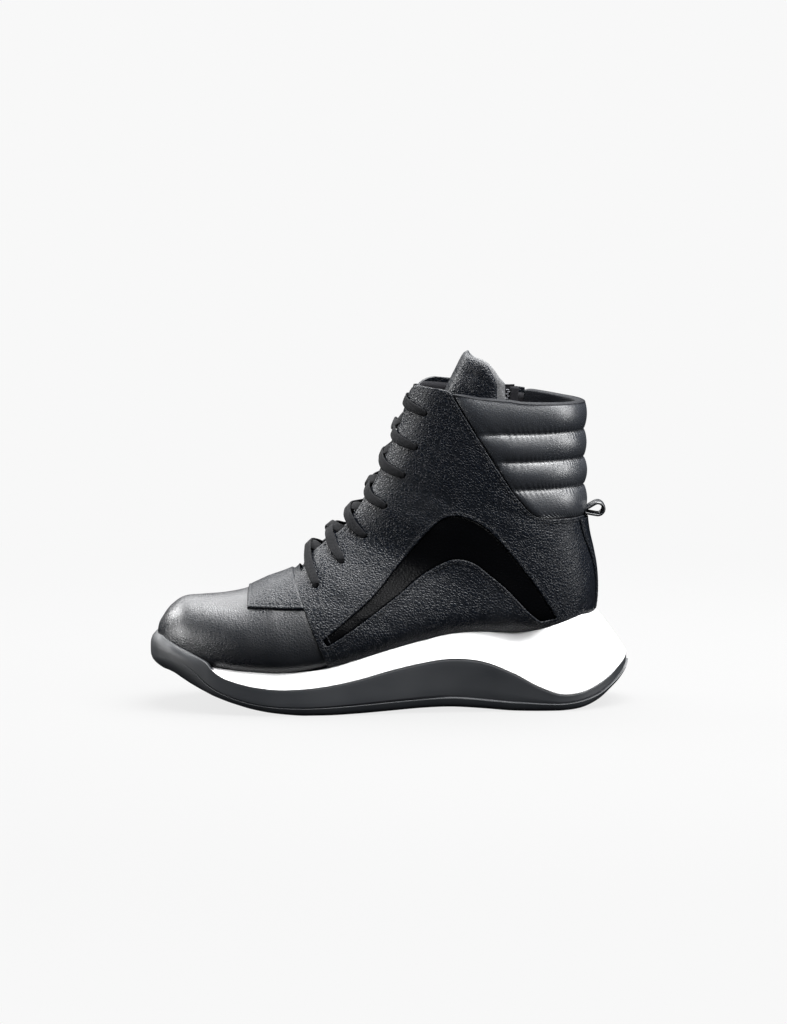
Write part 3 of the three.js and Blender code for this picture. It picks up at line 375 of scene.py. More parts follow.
def locate(x, z, side):
    """(u, v) of the surface point behind a side-view point."""
    x, z = floats(x, z)
    y = side * SHAFT_HALF * BALL_WIDTH
    level = z - rim_shift(x, y, z - rim_shift(x, y, z))

    def past(u):
        top_x, top_z, low_x, low_z = section(u)[:4]
        return (low_x - top_x) * (level - top_z) - (low_z - top_z) * (x - top_x) < 0

    u = bisect(np.full(x.shape, 0.02), np.full(x.shape, LAST_ROW - 0.01), past)
    top_x, top_z, low_x, low_z, _, _, widest, above, below = section(u)
    dx, dz = low_x - top_x, low_z - top_z
    down = np.clip(((x - top_x) * dx + (level - top_z) * dz) / (dx * dx + dz * dz), 1e-4, 1 - 1e-4)
    upper = down < widest
    along = np.where(upper, 1 - down / widest, (down - widest) / (1 - widest))
    turn = np.arccos(along ** (np.where(upper, above, below) / 2)) / np.pi
    return u, np.where(upper, turn, 1 - turn)


def locate_share(x, height, side):
    """(u, v) at an x and a share of the shaft's height."""
    return locate(x, bed(x) + height * SHAFT, side)


def height_share(p):
    return (p[..., 2] - bed(p[..., 0])) / SHAFT


def level_row(height, v, side):
    """The row of the surface at a height share, on the back part of the shaft."""
    shape = np.broadcast(height, v).shape
    return bisect(np.full(shape, float(SHAFT_ROW)), np.full(shape, LAST_ROW - 0.01),
                  lambda u: height_share(skin_point(u, v, side)) > height)


def v_at_half(u, half, side):
    """v where the surface is a given distance from the middle plane, on top of a section."""
    _, _, _, _, lateral, medial, _, above, _ = section(u)
    width = np.where(np.asarray(side) < 0, lateral, medial) * BALL_WIDTH
    return np.arcsin(np.minimum(1, (half / width) ** (above / 2))) / np.pi


def throat_half(u, side):
    return tabled(THROAT_ROWS, u, 1 if side == LATERAL else 2) * BALL_WIDTH


def throat_v(u, side, beside=0.0):
    return v_at_half(u, throat_half(u, side) + beside, side)


# Meshes

SAME_PLACE = 2e-6  # metres within which two points become one


def object_from(name, part, material):
    """An object from its points in the shoe's millimetres and its faces."""
    points, faces = part
    mesh = bpy.data.meshes.new(name)
    mesh.from_pydata((np.asarray(points) * MM + ORIGIN).tolist(), [], faces)
    work = bmesh.new()
    work.from_mesh(mesh)
    bmesh.ops.remove_doubles(work, verts=work.verts, dist=SAME_PLACE)
    bmesh.ops.recalc_face_normals(work, faces=work.faces)
    work.to_mesh(mesh)
    work.free()
    mesh.polygons.foreach_set("use_smooth", [True] * len(mesh.polygons))
    mesh.materials.append(material)
    return placed(bpy.data.objects.new(name, mesh))


def placed(obj):
    bpy.context.collection.objects.link(obj)
    return obj


def dress_faces(obj, material, first, last):
    """Gives a run of an object's faces a second material."""
    obj.data.materials.append(material)
    for face in obj.data.polygons[first:last]:
        face.material_index = 1


def settle(obj, nodes=()):
    """The object's place in the frame: its body and what it stands for."""
    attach(obj, "boot")
    if nodes:
        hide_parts(*nodes)
    return obj


def join(name, parts, material):
    """One object from several lists of points and faces."""
    points, faces, count = [], [], 0
    for part_points, part_faces in parts:
        points.append(np.asarray(part_points).reshape(-1, 3))
        faces += [tuple(i + count for i in face) for face in part_faces]
        count += len(points[-1])
    return object_from(name, (np.vstack(points), faces), material)


def grid_faces(rows, columns, around=False, start=0):
    """Faces of a grid of points, row after row. Around joins each row's last column to its first."""
    faces = []
    for i in range(rows - 1):
        for j in range(columns if around else columns - 1):
            a = start + i * columns + j
            b = start + i * columns + (j + 1) % columns
            faces.append((a, b, b + columns, a + columns))
    return faces


def tube_faces(rows, sides, start=0):
    """Faces of rings one after another, both ends closed."""
    end = start + rows * sides
    ends = [tuple(range(start + sides - 1, start - 1, -1)), tuple(range(end - sides, end))]
    return grid_faces(rows, sides, around=True, start=start) + ends


def shell(outer, inner):
    """A closed shell from two grids of the same shape, with its four edges walled."""
    rows, columns = outer.shape[:2]
    count = rows * columns
    at = np.arange(count).reshape(rows, columns)
    border = np.concatenate([at[0], at[1:, -1], at[-1, -2::-1], at[-2:0:-1, 0]]).tolist()
    faces = grid_faces(rows, columns) + [tuple(reversed(f)) for f in grid_faces(rows, columns, start=count)]
    faces += [(a, a + count, b + count, b) for a, b in zip(border, border[1:] + border[:1])]
    return np.concatenate([outer.reshape(-1, 3), inner.reshape(-1, 3)]), faces


def layer(u, v, side, outer_depth, inner_depth):
    """A closed shell between two depths under the upper's surface."""
    return shell(skin(u, v, side, outer_depth), skin(u, v, side, inner_depth))


def edge_rounding(distance, radius=0.7, drop=0.5):
    """How deep a leather edge has rounded off at a distance from it."""
    t = np.clip(1 - distance / radius, 0, 1)
    return drop * (1 - np.sqrt(1 - t**2))


# Outlines, and panels cut by any outline from the upper's surface

PANEL_SCALE = np.array([6.5, 130.0])  # millimetres to a row and to the whole of v, roughly
LEATHER_THICKNESS = 1.9
PANEL_PITCH = 1.7
BORDER_PITCH = 0.55  # as a share of the panel's pitch
RING_REACHES = (0.25, 0.6, 1.1)  # lines of points beside each edge, which round it off


def run_lengths(points):
    steps = np.linalg.norm(np.diff(points, axis=0), axis=1)
    return np.concatenate([[0], np.cumsum(steps)])


def resample(loop, step, closed=True):
    points = np.vstack([loop, loop[:1]]) if closed else np.asarray(loop)
    lengths = run_lengths(points)
    count = max(3, int(round(lengths[-1] / step)))
    at = np.linspace(0, lengths[-1], count + 1)[: -1 if closed else None]
    return np.stack([np.interp(at, lengths, column) for column in points.T], -1)


def sideways(loop):
    """Unit vectors across a closed flat loop."""
    ahead = np.roll(loop, -1, 0) - np.roll(loop, 1, 0)
    return unit(np.stack([-ahead[:, 1], ahead[:, 0]], -1))


def inside(points, loops):
    """Which points lie in the first loop and in none of the holes that the others cut in it."""
    x, y = points[:, :1], points[:, 1:]
    crossings = 0
    for a in loops:
        b = np.roll(a, -1, 0)
        rise = b[:, 1] - a[:, 1]
        slope = (b[:, 0] - a[:, 0]) / np.where(np.abs(rise) < 1e-12, 1e-12, rise)
        spans = (a[:, 1] > y) != (b[:, 1] > y)
        crossings += (spans & (x < slope * (y - a[:, 1]) + a[:, 0])).sum(1)
    return crossings % 2 == 1


def nearest(points, targets):
    """Distance from each point to the nearest target, in two or three dimensions."""
    def solid(places):
        return np.pad(places, ((0, 0), (0, 3 - places.shape[1]))).tolist()

    tree = kdtree.KDTree(len(targets))
    for i, place in enumerate(solid(targets)):
        tree.insert(place, i)
    tree.balance()
    return np.array([tree.find(place)[2] for place in solid(points)])


def panel_points(loops, pitch):
    """The points of a panel's triangles: its loops, lines beside them and an even field."""
    border = np.vstack(loops)
    low, high = loops[0].min(0), loops[0].max(0)
    columns = np.arange(low[0], high[0], pitch)
    rows = np.arange(low[1], high[1], pitch * 0.87)
    field = np.array([[x + (j % 2) * pitch / 2, y] for j, y in enumerate(rows) for x in columns])
    rings = []
    for loop in loops:
        for reach in RING_REACHES:
            for hand in (-1, 1):
                ring = loop + hand * reach * sideways(loop)
                rings.append(ring[nearest(ring, border) > reach * 0.85])
    rings = np.vstack(rings)
    field = field[nearest(field, np.vstack([border, rings])) > 0.5 * pitch]
    candidates = np.vstack([rings, field])
    return np.vstack([border, candidates[inside(candidates, loops)]])


def triangulated(loops, pitch):
    """A panel's flat points and its triangles."""
    edges, start = [], 0
    for loop in loops:
        edges += [(start + i, start + (i + 1) % len(loop)) for i in range(len(loop))]
        start += len(loop)
    points = [Vector(p) for p in panel_points(loops, pitch).tolist()]
    made = geometry.delaunay_2d_cdt(points, edges, [], 0, 1e-5)
    flat = np.array([tuple(v) for v in made[0]])
    triangles = np.array(made[2])
    return flat, triangles[inside(flat[triangles].mean(1), loops)]


def panel(side, loops, relief, pitch=PANEL_PITCH):
    """A leather panel inside the first of its (u, v) loops and outside the others. relief gives the
    outer face's depth from its points and their distances to each loop."""
    loops = [resample(loop * PANEL_SCALE, pitch * BORDER_PITCH) for loop in loops]
    flat, triangles = triangulated(loops, pitch)
    u, v = (flat / PANEL_SCALE).T
    base = skin_point(u, v, side)
    normal = skin_normal(u, v, side)
    edge_places = [skin_point(*(resample(loop, 0.4) / PANEL_SCALE).T, side) for loop in loops]
    depth = relief(base, [nearest(base, places) for places in edge_places])
    outer = base - normal * depth[:, None]
    inner = base - normal * LEATHER_THICKNESS
    count = len(flat)
    edges = [(t[i], t[(i + 1) % 3]) for t in triangles.tolist() for i in range(3)]
    known = set(edges)
    faces = [tuple(t) for t in triangles] + [tuple(t[::-1] + count) for t in triangles]
    faces += [(b, a, a + count, b + count) for a, b in edges if (b, a) not in known]
    return np.vstack([outer, inner]), faces


def round_path(points):
    """A smooth line through a few side-view points."""
    table = np.vstack([2 * points[0] - points[1], points, 2 * points[-1] - points[-2]])
    last = len(points) - 1
    return catmull(table, np.minimum(np.linspace(0, last, 8 * last + 1), last - 1e-9))


# Stitches

STITCH_SIDES = 6
# Sections of a stitch: share of its length, width and height as shares of the thread's radius
STITCH_ROWS = np.array([
    [0.0, 0.35, -0.7],
    [0.12, 0.85, -0.2],
    [0.5, 1.0, 0.25],
    [0.88, 0.85, -0.2],
    [1.0, 0.35, -0.7],
])


def stitch_row(path, normals, length=2.1, pitch=2.9, radius=0.26):
    """Short closed threads along a path of points with their surface normals, their ends pressed in."""
    lengths = run_lengths(path)
    count = int(lengths[-1] / pitch)
    spare = (lengths[-1] - count * pitch) / 2
    first = spare + pitch * np.arange(count) + (pitch - length) / 2

    def at(distance, values):
        return np.stack([np.interp(distance, lengths, column) for column in values.T], -1)

    starts, ends = at(first, path), at(first + length, path)
    normal = unit(at(first + length / 2, normals))
    along = unit(ends - starts)
    across = unit(np.cross(along, normal))
    up = np.cross(across, along)
    turn = np.linspace(0, 2 * np.pi, STITCH_SIDES, endpoint=False)[:, None]
    ring = across[:, None] * np.cos(turn) + up[:, None] * np.sin(turn)
    share, width, lift = STITCH_ROWS.T[..., None]
    centres = lerp(starts[:, None], ends[:, None], share) + normal[:, None] * lift * radius
    points = centres[:, :, None] + radius * width[:, None] * ring[:, None]
    size = len(STITCH_ROWS) * STITCH_SIDES
    faces = [face for k in range(count) for face in tube_faces(len(STITCH_ROWS), STITCH_SIDES, k * size)]
    return points.reshape(-1, 3), faces


def skin_stitches(uv, side, depth):
    u, v = uv.T
    return stitch_row(skin(u, v, side, depth), skin_normal(u, v, side))


# Materials

def new_material(name, color, roughness, **settings):
    material = bpy.data.materials.new(name)
    material.use_nodes = True
    shader = material.node_tree.nodes["Principled BSDF"]
    shader.inputs["Base Color"].default_value = (*color, 1)
    shader.inputs["Roughness"].default_value = roughness
    for key, value in settings.items():
        shader.inputs[key.replace("_", " ")].default_value = value
    return material, material.node_tree, shader


def add(tree, kind, links=(), **settings):
    """A node with its settings, and its inputs linked or set."""
    node = tree.nodes.new("ShaderNode" + kind)
    for key, value in settings.items():
        setattr(node, key, value)
    for name, value in links:
        if isinstance(value, bpy.types.NodeSocket):
            tree.links.new(value, node.inputs[name])
        else:
            node.inputs[name].default_value = value
    return node


def own_places(tree):
    return add(tree, "TexCoord").outputs["Object"]


def noise(tree, places, scale, detail=2.0):
    return add(tree, "TexNoise", [("Vector", places), ("Scale", scale), ("Detail", detail)]).outputs["Fac"]


def spread(tree, value, start, end, kind="LINEAR"):
    """A value mapped from one range to another, each a (low, high) pair."""
    sizes = [("From Min", start[0]), ("From Max", start[1]), ("To Min", end[0]), ("To Max", end[1])]
    return add(tree, "MapRange", [("Value", value), *sizes], interpolation_type=kind).outputs["Result"]


def reckon(tree, operation, *values):
    return add(tree, "Math", enumerate(values), operation=operation).outputs[0]


def vector_reckon(tree, operation, *links):
    return add(tree, "VectorMath", links, operation=operation)


def roughen(tree, shader, height, depth, strength=1.0):
    """A relief of a given depth in metres."""
    bump = add(tree, "Bump", [("Height", height), ("Distance", depth), ("Strength", strength)])
    tree.links.new(bump.outputs["Normal"], shader.inputs["Normal"])


def shade(tree, shader, factor, color, dark):
    """The colour, darker by a share where the factor is 0."""
    ends = [("A", (*[c * dark for c in color], 1)), ("B", (*color, 1))]
    mix = add(tree, "Mix", [("Factor", factor), *ends], data_type="RGBA")
    tree.links.new(mix.outputs["Result"], shader.inputs["Base Color"])


# Of a leather: its grain's warp and wrinkles as shares of the grain, and its creases' painted shade and gloss
DRIFT_SIZE, DRIFT = 2.2, 0.9
WRINKLES, WRINKLE_DEPTH = 3.2, 0.35
CREASE_WIDTH, CREASE_SHADE, CREASE_GLOSS = 0.32, 0.55, 0.12
WEAR_SCALE = 28.0  # of the broad patches where a leather is more or less worn, to a metre


def warped_places(tree, size, warp):
    """Places shifted by a noise of a given size in metres."""
    places = own_places(tree)
    drift = add(tree, "TexNoise", [("Vector", places), ("Scale", 1 / size)]).outputs["Color"]
    even = vector_reckon(tree, "SUBTRACT", (0, drift), (1, (0.5, 0.5, 0.5))).outputs[0]
    scaled = vector_reckon(tree, "SCALE", (0, even), ("Scale", warp)).outputs[0]
    return vector_reckon(tree, "ADD", (0, places), (1, scaled)).outputs[0]


def leather(name, color, roughness, grain, depth, specular=0.3):
    """Pebbled leather: rounded cells with creases between them, over a finer wrinkle; the creases carry
    painted shade.
    """
    material, tree, shader = new_material(name, color, roughness, Specular_IOR_Level=specular)
    places = warped_places(tree, grain * DRIFT_SIZE, grain * DRIFT)
    cells = add(tree, "TexVoronoi", [("Vector", places), ("Scale", 1 / grain), ("Randomness", 0.95)],
                feature="DISTANCE_TO_EDGE")
    dome = spread(tree, cells.outputs["Distance"], (0.0, CREASE_WIDTH), (0.0, 1.0), "SMOOTHERSTEP")
    wrinkle = noise(tree, places, WRINKLES / grain, 3.0)
    roughen(tree, shader, reckon(tree, "MULTIPLY_ADD", wrinkle, WRINKLE_DEPTH, dome), depth, 0.8)
    worn = spread(tree, noise(tree, places, WEAR_SCALE), (0.3, 0.7), (roughness - 0.05, roughness + 0.07))
    gloss = reckon(tree, "MULTIPLY_ADD", dome, -CREASE_GLOSS, worn)
    tree.links.new(gloss, shader.inputs["Roughness"])
    # Painted shade: the creases between the cells are darker than the cell tops.
    shade(tree, shader, dome, color, CREASE_SHADE)
    return material


def woven(name, color, rib, depth):
    """A close textile of fine crossed ribs, with painted shade in the hollows between them."""
    material, tree, shader = new_material(name, color, 0.85, Specular_IOR_Level=0.12)
    places = own_places(tree)
    waves = [add(tree, "TexWave", [("Vector", places), ("Scale", 0.31 / rib), ("Distortion", 0.6)],
                 bands_direction=axis).outputs["Fac"] for axis in ("X", "Z")]
    height = reckon(tree, "MAXIMUM", *waves)
    roughen(tree, shader, height, depth, 0.7)
    # Painted shade: the hollows between the ribs are darker than the rib tops.
    shade(tree, shader, height, color, 0.6)
    return material


def moulded(name, color, roughness, speck, depth, **settings):
    """Moulded rubber or foam: a fine even speckle and slightly changing gloss."""
    material, tree, shader = new_material(name, color, roughness, **settings)
    places = own_places(tree)
    broad = noise(tree, places, 35.0)
    gloss = spread(tree, broad, (0.3, 0.7), (roughness - 0.06, roughness + 0.06))
    tree.links.new(gloss, shader.inputs["Roughness"])
    roughen(tree, shader, noise(tree, places, 1 / speck), depth, 0.5)
    shade(tree, shader, broad, color, 0.93)
    return material


def twisted(name, color):
    """Sewing thread."""
    material, tree, shader = new_material(name, color, 0.6, Specular_IOR_Level=0.2)
    twist = add(tree, "TexWave", [("Vector", own_places(tree)), ("Scale", 900.0)], bands_direction="DIAGONAL")
    roughen(tree, shader, twist.outputs["Fac"], 0.0001)
    return material


def metal(name, color):
    material, tree, shader = new_material(name, color, 0.35, Metallic=1.0)
    gloss = spread(tree, noise(tree, own_places(tree), 600.0), (0.0, 1.0), (0.28, 0.48))
    tree.links.new(gloss, shader.inputs["Roughness"])
    return material


# Colour, roughness, the size of the grain or weave and its depth in metres
PEBBLED = leather("pebbled_leather", (0.0036, 0.0048, 0.0074), 0.38, 0.0016, 0.00022, specular=0.17)
PLAIN = leather("plain_leather", (0.0034, 0.0044, 0.0066), 0.40, 0.0014, 0.00007, specular=0.5)
SOFT = leather("quilted_leather", (0.0190, 0.0215, 0.0265), 0.38, 0.0010, 0.00005, specular=0.95)
PATENT = leather("patent_leather", (0.0010, 0.0011, 0.0014), 0.30, 0.0018, 0.00005, specular=0.09)
TONGUE_LINING = leather("tongue_lining_leather", (0.085, 0.0865, 0.09), 0.6, 0.0012, 0.00004, specular=0.2)
PAD_INSIDE = leather("collar_lining_leather", (0.0055, 0.0062, 0.0080), 0.6, 0.0012, 0.00006, specular=0.06)
RUBBER = moulded("sole_rubber", (0.0075, 0.0090, 0.0115), 0.54, 0.00035, 0.00003)
FOAM = moulded("midsole_foam", (0.66, 0.66, 0.665), 0.55, 0.0004, 0.00002, Specular_IOR_Level=0.3)
LINING = woven("lining_textile", (0.012, 0.012, 0.014), 0.0007, 0.0001)
LACE = woven("lace_weave", (0.0032, 0.0034, 0.0042), 0.0007, 0.00018)
TAPE = woven("zip_tape", (0.010, 0.010, 0.012), 0.0006, 0.0001)
THREAD = twisted("thread", (0.011, 0.012, 0.014))
METAL = metal("dark_metal", (0.045, 0.046, 0.05))


# Vamp, from the toe tip to under the quarter

# The main folds in side view, in millimetres: start x, z, end x, z, width and depth
FOLDS = [
    (96, 66, 128, 60, 3.2, 0.35),
    (100, 58, 140, 49, 3.6, 0.3),
    (196, 128, 232, 118, 4.0, 0.4),
    (190, 120, 228, 107, 4.0, 0.35),
    (150, 128, 176, 118, 4.5, 0.35),
    (148, 118, 168, 108, 4.0, 0.3),
]
FOLD_FADE = 0.25  # how far a fold runs out past its ends, as a share of its length


def creases(p):
    """Depth of the folds, each a trough with a low ridge beside it."""
    depth = np.zeros(p.shape[:-1])
    for x0, z0, x1, z1, width, deep in FOLDS:
        run = np.array([x1 - x0, z1 - z0])
        x, z = p[..., 0] - x0, p[..., 2] - z0
        t = (x * run[0] + z * run[1]) / (run @ run)
        off = (x * run[1] - z * run[0]) / np.linalg.norm(run)
        ends = smooth((t + FOLD_FADE) / 0.5) * smooth((1 + FOLD_FADE - t) / 0.5)
        depth += deep * ends * (ridge(off, width) - 0.6 * ridge(off - 1.9 * width, width))
    return depth


VAMP_REACH = 0.9  # v where the vamp ends, inside the sole
VAMP_TUCK = 0.6  # how much deeper it lies under the quarter


def under_quarter(u):
    """The vamp's depth where the quarter's edge steps down to it."""
    return QUARTER_STEP * np.clip(u - STEP_ROW + 1, 0, 1)


def vamp():
    rows = np.concatenate([np.linspace(0, 2, 25)[:-1], np.linspace(2, STEP_ROW + 0.35, 90)])
    u, column = grid(rows, np.linspace(-VAMP_REACH, VAMP_REACH, 181))
    v, side = np.abs(column), side_of(column)
    outer = skin(u, v, side, under_quarter(u) + VAMP_TUCK * smooth((u - STEP_ROW + 0.05) / 0.2))
    inner = skin(u, v, side, WALL)
    inner[0] = skin(0.25, v[0], side[0], WALL)
    return object_from("vamp_leather", shell(outer, inner), PLAIN)


# Quarters, each from the throat to the quilted collar and down into the sole

EYELET_RADIUS = 1.7
LOW_V = 0.93  # the panels' lower edge, out of sight inside the sole
HEEL_CORNER = (16.6, 15.5)  # rows where that edge leaves the back seam and where it runs level
FRONT_STITCHES = (0.14, 0.36)  # in rows behind the quarter's front edge
FRONT_STITCH_TOP = {LATERAL: 0.345, MEDIAL: 0.34}
STITCH_GAP = 2.0  # from an edge to the stitches beside it
BAND_STITCH_GAP = 1.9
STITCH_TROUGH = 0.28
ZIP_STITCH_GAP = 1.8
ZIP_STITCH_TOP = 0.93


def quilt_front_x(height, side):
    if side == LATERAL:
        return tabled(QUILT_FRONT, height) * LENGTH
    return tabled(ZIP_LINE, height) * LENGTH + (ZIP_SLIT + ZIP_TAPE) / 2


def quilt_front_v(height, side, grow=0.0):
    return locate_share(quilt_front_x(height, side) - grow, height, side)[1]


def rim_meeting(x_of_height, side):
    """v and height share on the rim where it meets a line given as x at a height."""
    def past(v):
        p = skin_point(RIM_ROW, v, side)
        return p[..., 0] > x_of_height(height_share(p))

    v = float(bisect(0.06, 0.97, past))
    return v, float(height_share(skin_point(RIM_ROW, v, side)))


def rim_line(start, end, count=30):
    """(u, v) along the rim between two places, without them."""
    return line(float(RIM_ROW), np.linspace(start, end, count)[1:-1])


def quilt_border(side, grow=0.0):
    """(u, v) round the quilted collar's edge, from the rim down its front and back along its foot."""
    v_top, top = rim_meeting(lambda h: quilt_front_x(h, side) - grow, side)
    heights = np.linspace(top, QUILT_SEAMS[0] - grow / SHAFT, 40)
    front = quilt_front_v(heights, side, grow)
    down = line(level_row(heights, front, side), front)
    down[0] = [RIM_ROW, v_top]
    v = np.linspace(front[-1], 1, 30)[1:]
    return down, line(level_row(heights[-1], v, side), v)


def throat_border(side):
    u = np.concatenate([np.linspace(STEP_ROW, 27, 120), np.linspace(27, RIM_ROW, 14)[1:]])
    return line(u, throat_v(u, side))


def lower_border(foot, throat_foot):
    """From the quilted collar's foot down the back, forward in the sole and up the quarter's front."""
    back = line(np.linspace(foot[-1][0], HEEL_CORNER[0], 30)[1:], 1.0)
    under = line(np.linspace(HEEL_CORNER[1], STEP_ROW, 30), LOW_V)
    front = line(float(STEP_ROW), np.linspace(LOW_V, 0, 41)[:-1])
    return np.vstack([back, under, front[front[:, 1] > throat_foot]])


def eyelet_row(i):
    u, v = locate_share(EYELETS[i][0] * LENGTH, EYELETS[i][1], LATERAL)
    return float(u), float(v)


def eyelet_loop(i, side):
    u, v = eyelet_row(i)
    per_row = np.linalg.norm(skin_point(u + 0.1, v, side) - skin_point(u - 0.1, v, side)) / 0.2
    per_v = np.linalg.norm(skin_point(u, v + 0.01, side) - skin_point(u, v - 0.01, side)) / 0.02
    turn = np.linspace(0, 2 * np.pi, 16, endpoint=False)
    return line(u + EYELET_RADIUS / per_row * np.cos(turn), v + EYELET_RADIUS / per_v * np.sin(turn))


def band_loop(grow=0.0):
    """The arch band's outline as (u, v), moved outwards by grow."""
    outline = np.vstack([round_path(BAND_ROWS[:, :2]), round_path(BAND_ROWS[:, 2:])[::-1]]) * [LENGTH, 1]
    outline[:, 1] = bed(outline[:, 0]) + outline[:, 1] * SHAFT
    outline = resample(outline, 1.2)
    grown = outline + grow * sideways(outline)
    return line(*locate(grown[:, 0], grown[:, 1], LATERAL))


def zip_edge(offset, top):
    """(u, v) beside the zip's line, from a height share down."""
    heights = np.linspace(top, ZIP_BOTTOM, 50)
    return line(*locate_share(tabled(ZIP_LINE, heights) * LENGTH + offset, heights, MEDIAL))


def zip_slit():
    """(u, v) down the slit's front edge and up its back edge, both from the rim."""
    edges = []
    for offset in (-ZIP_SLIT / 2, ZIP_SLIT / 2):
        v, top = rim_meeting(lambda h: tabled(ZIP_LINE, h) * LENGTH + offset, MEDIAL)
        edge = zip_edge(offset, top)
        edge[0] = [RIM_ROW, v]
        edges.append(edge)
    return edges[0], edges[1][::-1]


def stitch_lines(side):
    """(u, v) of a quarter's stitches: two rows down its front, one each beside the quilted collar and the
    throat, and one each side of the zip."""
    v = np.linspace(FRONT_STITCH_TOP[side], 0.8, 80)
    u = np.linspace(STEP_ROW + 0.5, RIM_ROW - 0.4, 120)
    lines = [line(STEP_ROW + behind, v) for behind in FRONT_STITCHES]
    lines += [np.vstack(quilt_border(side, STITCH_GAP)), line(u, throat_v(u, side, STITCH_GAP))]
    if side == MEDIAL:
        lines += [zip_edge(hand * (ZIP_SLIT / 2 + ZIP_STITCH_GAP), ZIP_STITCH_TOP) for hand in (-1, 1)]
    return lines


def quarter_relief(side, beds):
    """Depth of a quarter's outer face: rounded edges, a trough under each row of stitches, folds. Its
    loops are the outline, a number of beds with stitches round them, and the eyelets."""
    threads = [skin_point(*resample(path * PANEL_SCALE, 0.6, closed=False).T / PANEL_SCALE[:, None], side)
               for path in stitch_lines(side)]

    def relief(base, distances):
        depth = edge_rounding(distances[0])
        for rim in distances[1:1 + beds]:
            depth += edge_rounding(rim)
            depth += 0.3 * ridge(rim - BAND_STITCH_GAP, 0.55) - 0.18 * ridge(rim - 0.9, 0.5)
        for eyelet in distances[1 + beds:]:
            depth += edge_rounding(eyelet, 0.5, 0.35)
        for thread in threads:
            depth += STITCH_TROUGH * ridge(nearest(base, thread), 0.5)
        return depth + creases(base)
    return relief


def quarter(side, name):
    """The lateral quarter has the arch band's bed cut out of it, the medial one the zip's slit."""
    down, foot = quilt_border(side)
    throat = throat_border(side)
    if side == LATERAL:
        rim = rim_line(throat[-1][1], down[0][1])
        beds = [band_loop()]
    else:
        ahead, behind = zip_slit()
        rim = np.vstack([rim_line(throat[-1][1], ahead[0][1]), ahead, behind,
                         rim_line(behind[-1][1], down[0][1], 6)])
        beds = []
    outline = np.vstack([throat, rim, down, foot, lower_border(foot, throat[0][1])])
    loops = [outline, *beds, *[eyelet_loop(i, side) for i in range(len(EYELETS))]]
    return object_from(name, panel(side, loops, quarter_relief(side, len(beds))), PEBBLED)


BAND_GAP = 0.12  # all round between the band and its bed
BAND_SINK = 0.75
BAND_PITCH = 1.5


def arch_band():
    def relief(base, distances):
        return BAND_SINK + edge_rounding(distances[0], 1.2, 0.5) + 0.5 * creases(base)
    return object_from("arch_band_leather", panel(LATERAL, [band_loop(-BAND_GAP)], relief, BAND_PITCH), PATENT)


def quarter_thread():
    loop = band_loop(BAND_STITCH_GAP)
    runs = [(path, side) for side in SIDES for path in stitch_lines(side)]
    runs.append((np.vstack([loop, loop[:1]]), LATERAL))
    return join("quarter_thread", [skin_stitches(path, side, 0.05) for path, side in runs], THREAD)


# Lining, just behind the leather and behind the quilted collar's padding

LINING_DEPTH = WALL - 0.35
LINING_THICKNESS = 0.45
LINING_ROWS = (5, 27.75)
LINING_BACK = 0.985  # v just short of the back seam


def lining():
    parts = []
    for side in SIDES:
        toe_rows = np.linspace(LINING_ROWS[0], STEP_ROW, 20)[:-1]
        rows = np.concatenate([toe_rows, np.linspace(STEP_ROW, LINING_ROWS[1], 70)])
        first = np.where(rows < STEP_ROW, 0.0, throat_v(rows, side) + 0.006)
        u, t = grid(rows, np.linspace(0, 1, 70))
        v = lerp(first[:, None], LINING_BACK, t)
        p = skin_point(u, v, side)
        behind = smooth((p[..., 0] - quilt_front_x(height_share(p), side) + 2) / 8)
        padded = behind * smooth((height_share(p) - QUILT_SEAMS[0] + 0.04) / 0.06)
        depth = LINING_DEPTH + (PAD_DEPTH + PAD_LINING - WALL) * padded
        parts.append(layer(u, v, side, depth, depth + LINING_THICKNESS))
    return join("lining", parts, LINING)


# Quilted collar

COLLAR_COLUMNS = np.linspace(-1, 1, 261)
COLLAR_GAP = 0.35  # between the padding's front edge and the quarter
ROLL_PEAK = 1.1
ROLL_VALLEY = 1.3
ROLL_FULLNESS = 0.62  # the power that makes a roll's section fuller than a sine
PAD_BACK = PAD_DEPTH - 0.4  # depth of the padding's hidden back
TOP_TURN = 0.86  # the share of a half turn after which the top roll goes over the rim
RIM_ROUND = 1.6  # how far the padding rounds over above its outer and inner faces
PUCKER = 0.16
SAG = 0.22


def roll_bulge(turn):
    return math.sin(math.pi * turn) ** ROLL_FULLNESS


def collar_row(height, columns):
    """(u, v) of the collar's points at a height share, or at one for each column."""
    heights = np.broadcast_to(height, columns.shape)
    fronts = [quilt_front_v(heights, side, -COLLAR_GAP) for side in SIDES]
    v = lerp(1.0, np.where(columns < 0, *fronts), np.abs(columns))
    return level_row(heights, v, side_of(columns)), v


def collar_crest():
    """The height share at which the padding starts to round over the rim, for each column."""
    fronts = [rim_meeting(lambda h: quilt_front_x(h, side) + COLLAR_GAP, side)[0] for side in SIDES]
    v = lerp(1.0, np.where(COLLAR_COLUMNS < 0, *fronts), np.abs(COLLAR_COLUMNS))
    return height_share(skin_point(RIM_ROW, v, side_of(COLLAR_COLUMNS))) - RIM_ROUND / SHAFT


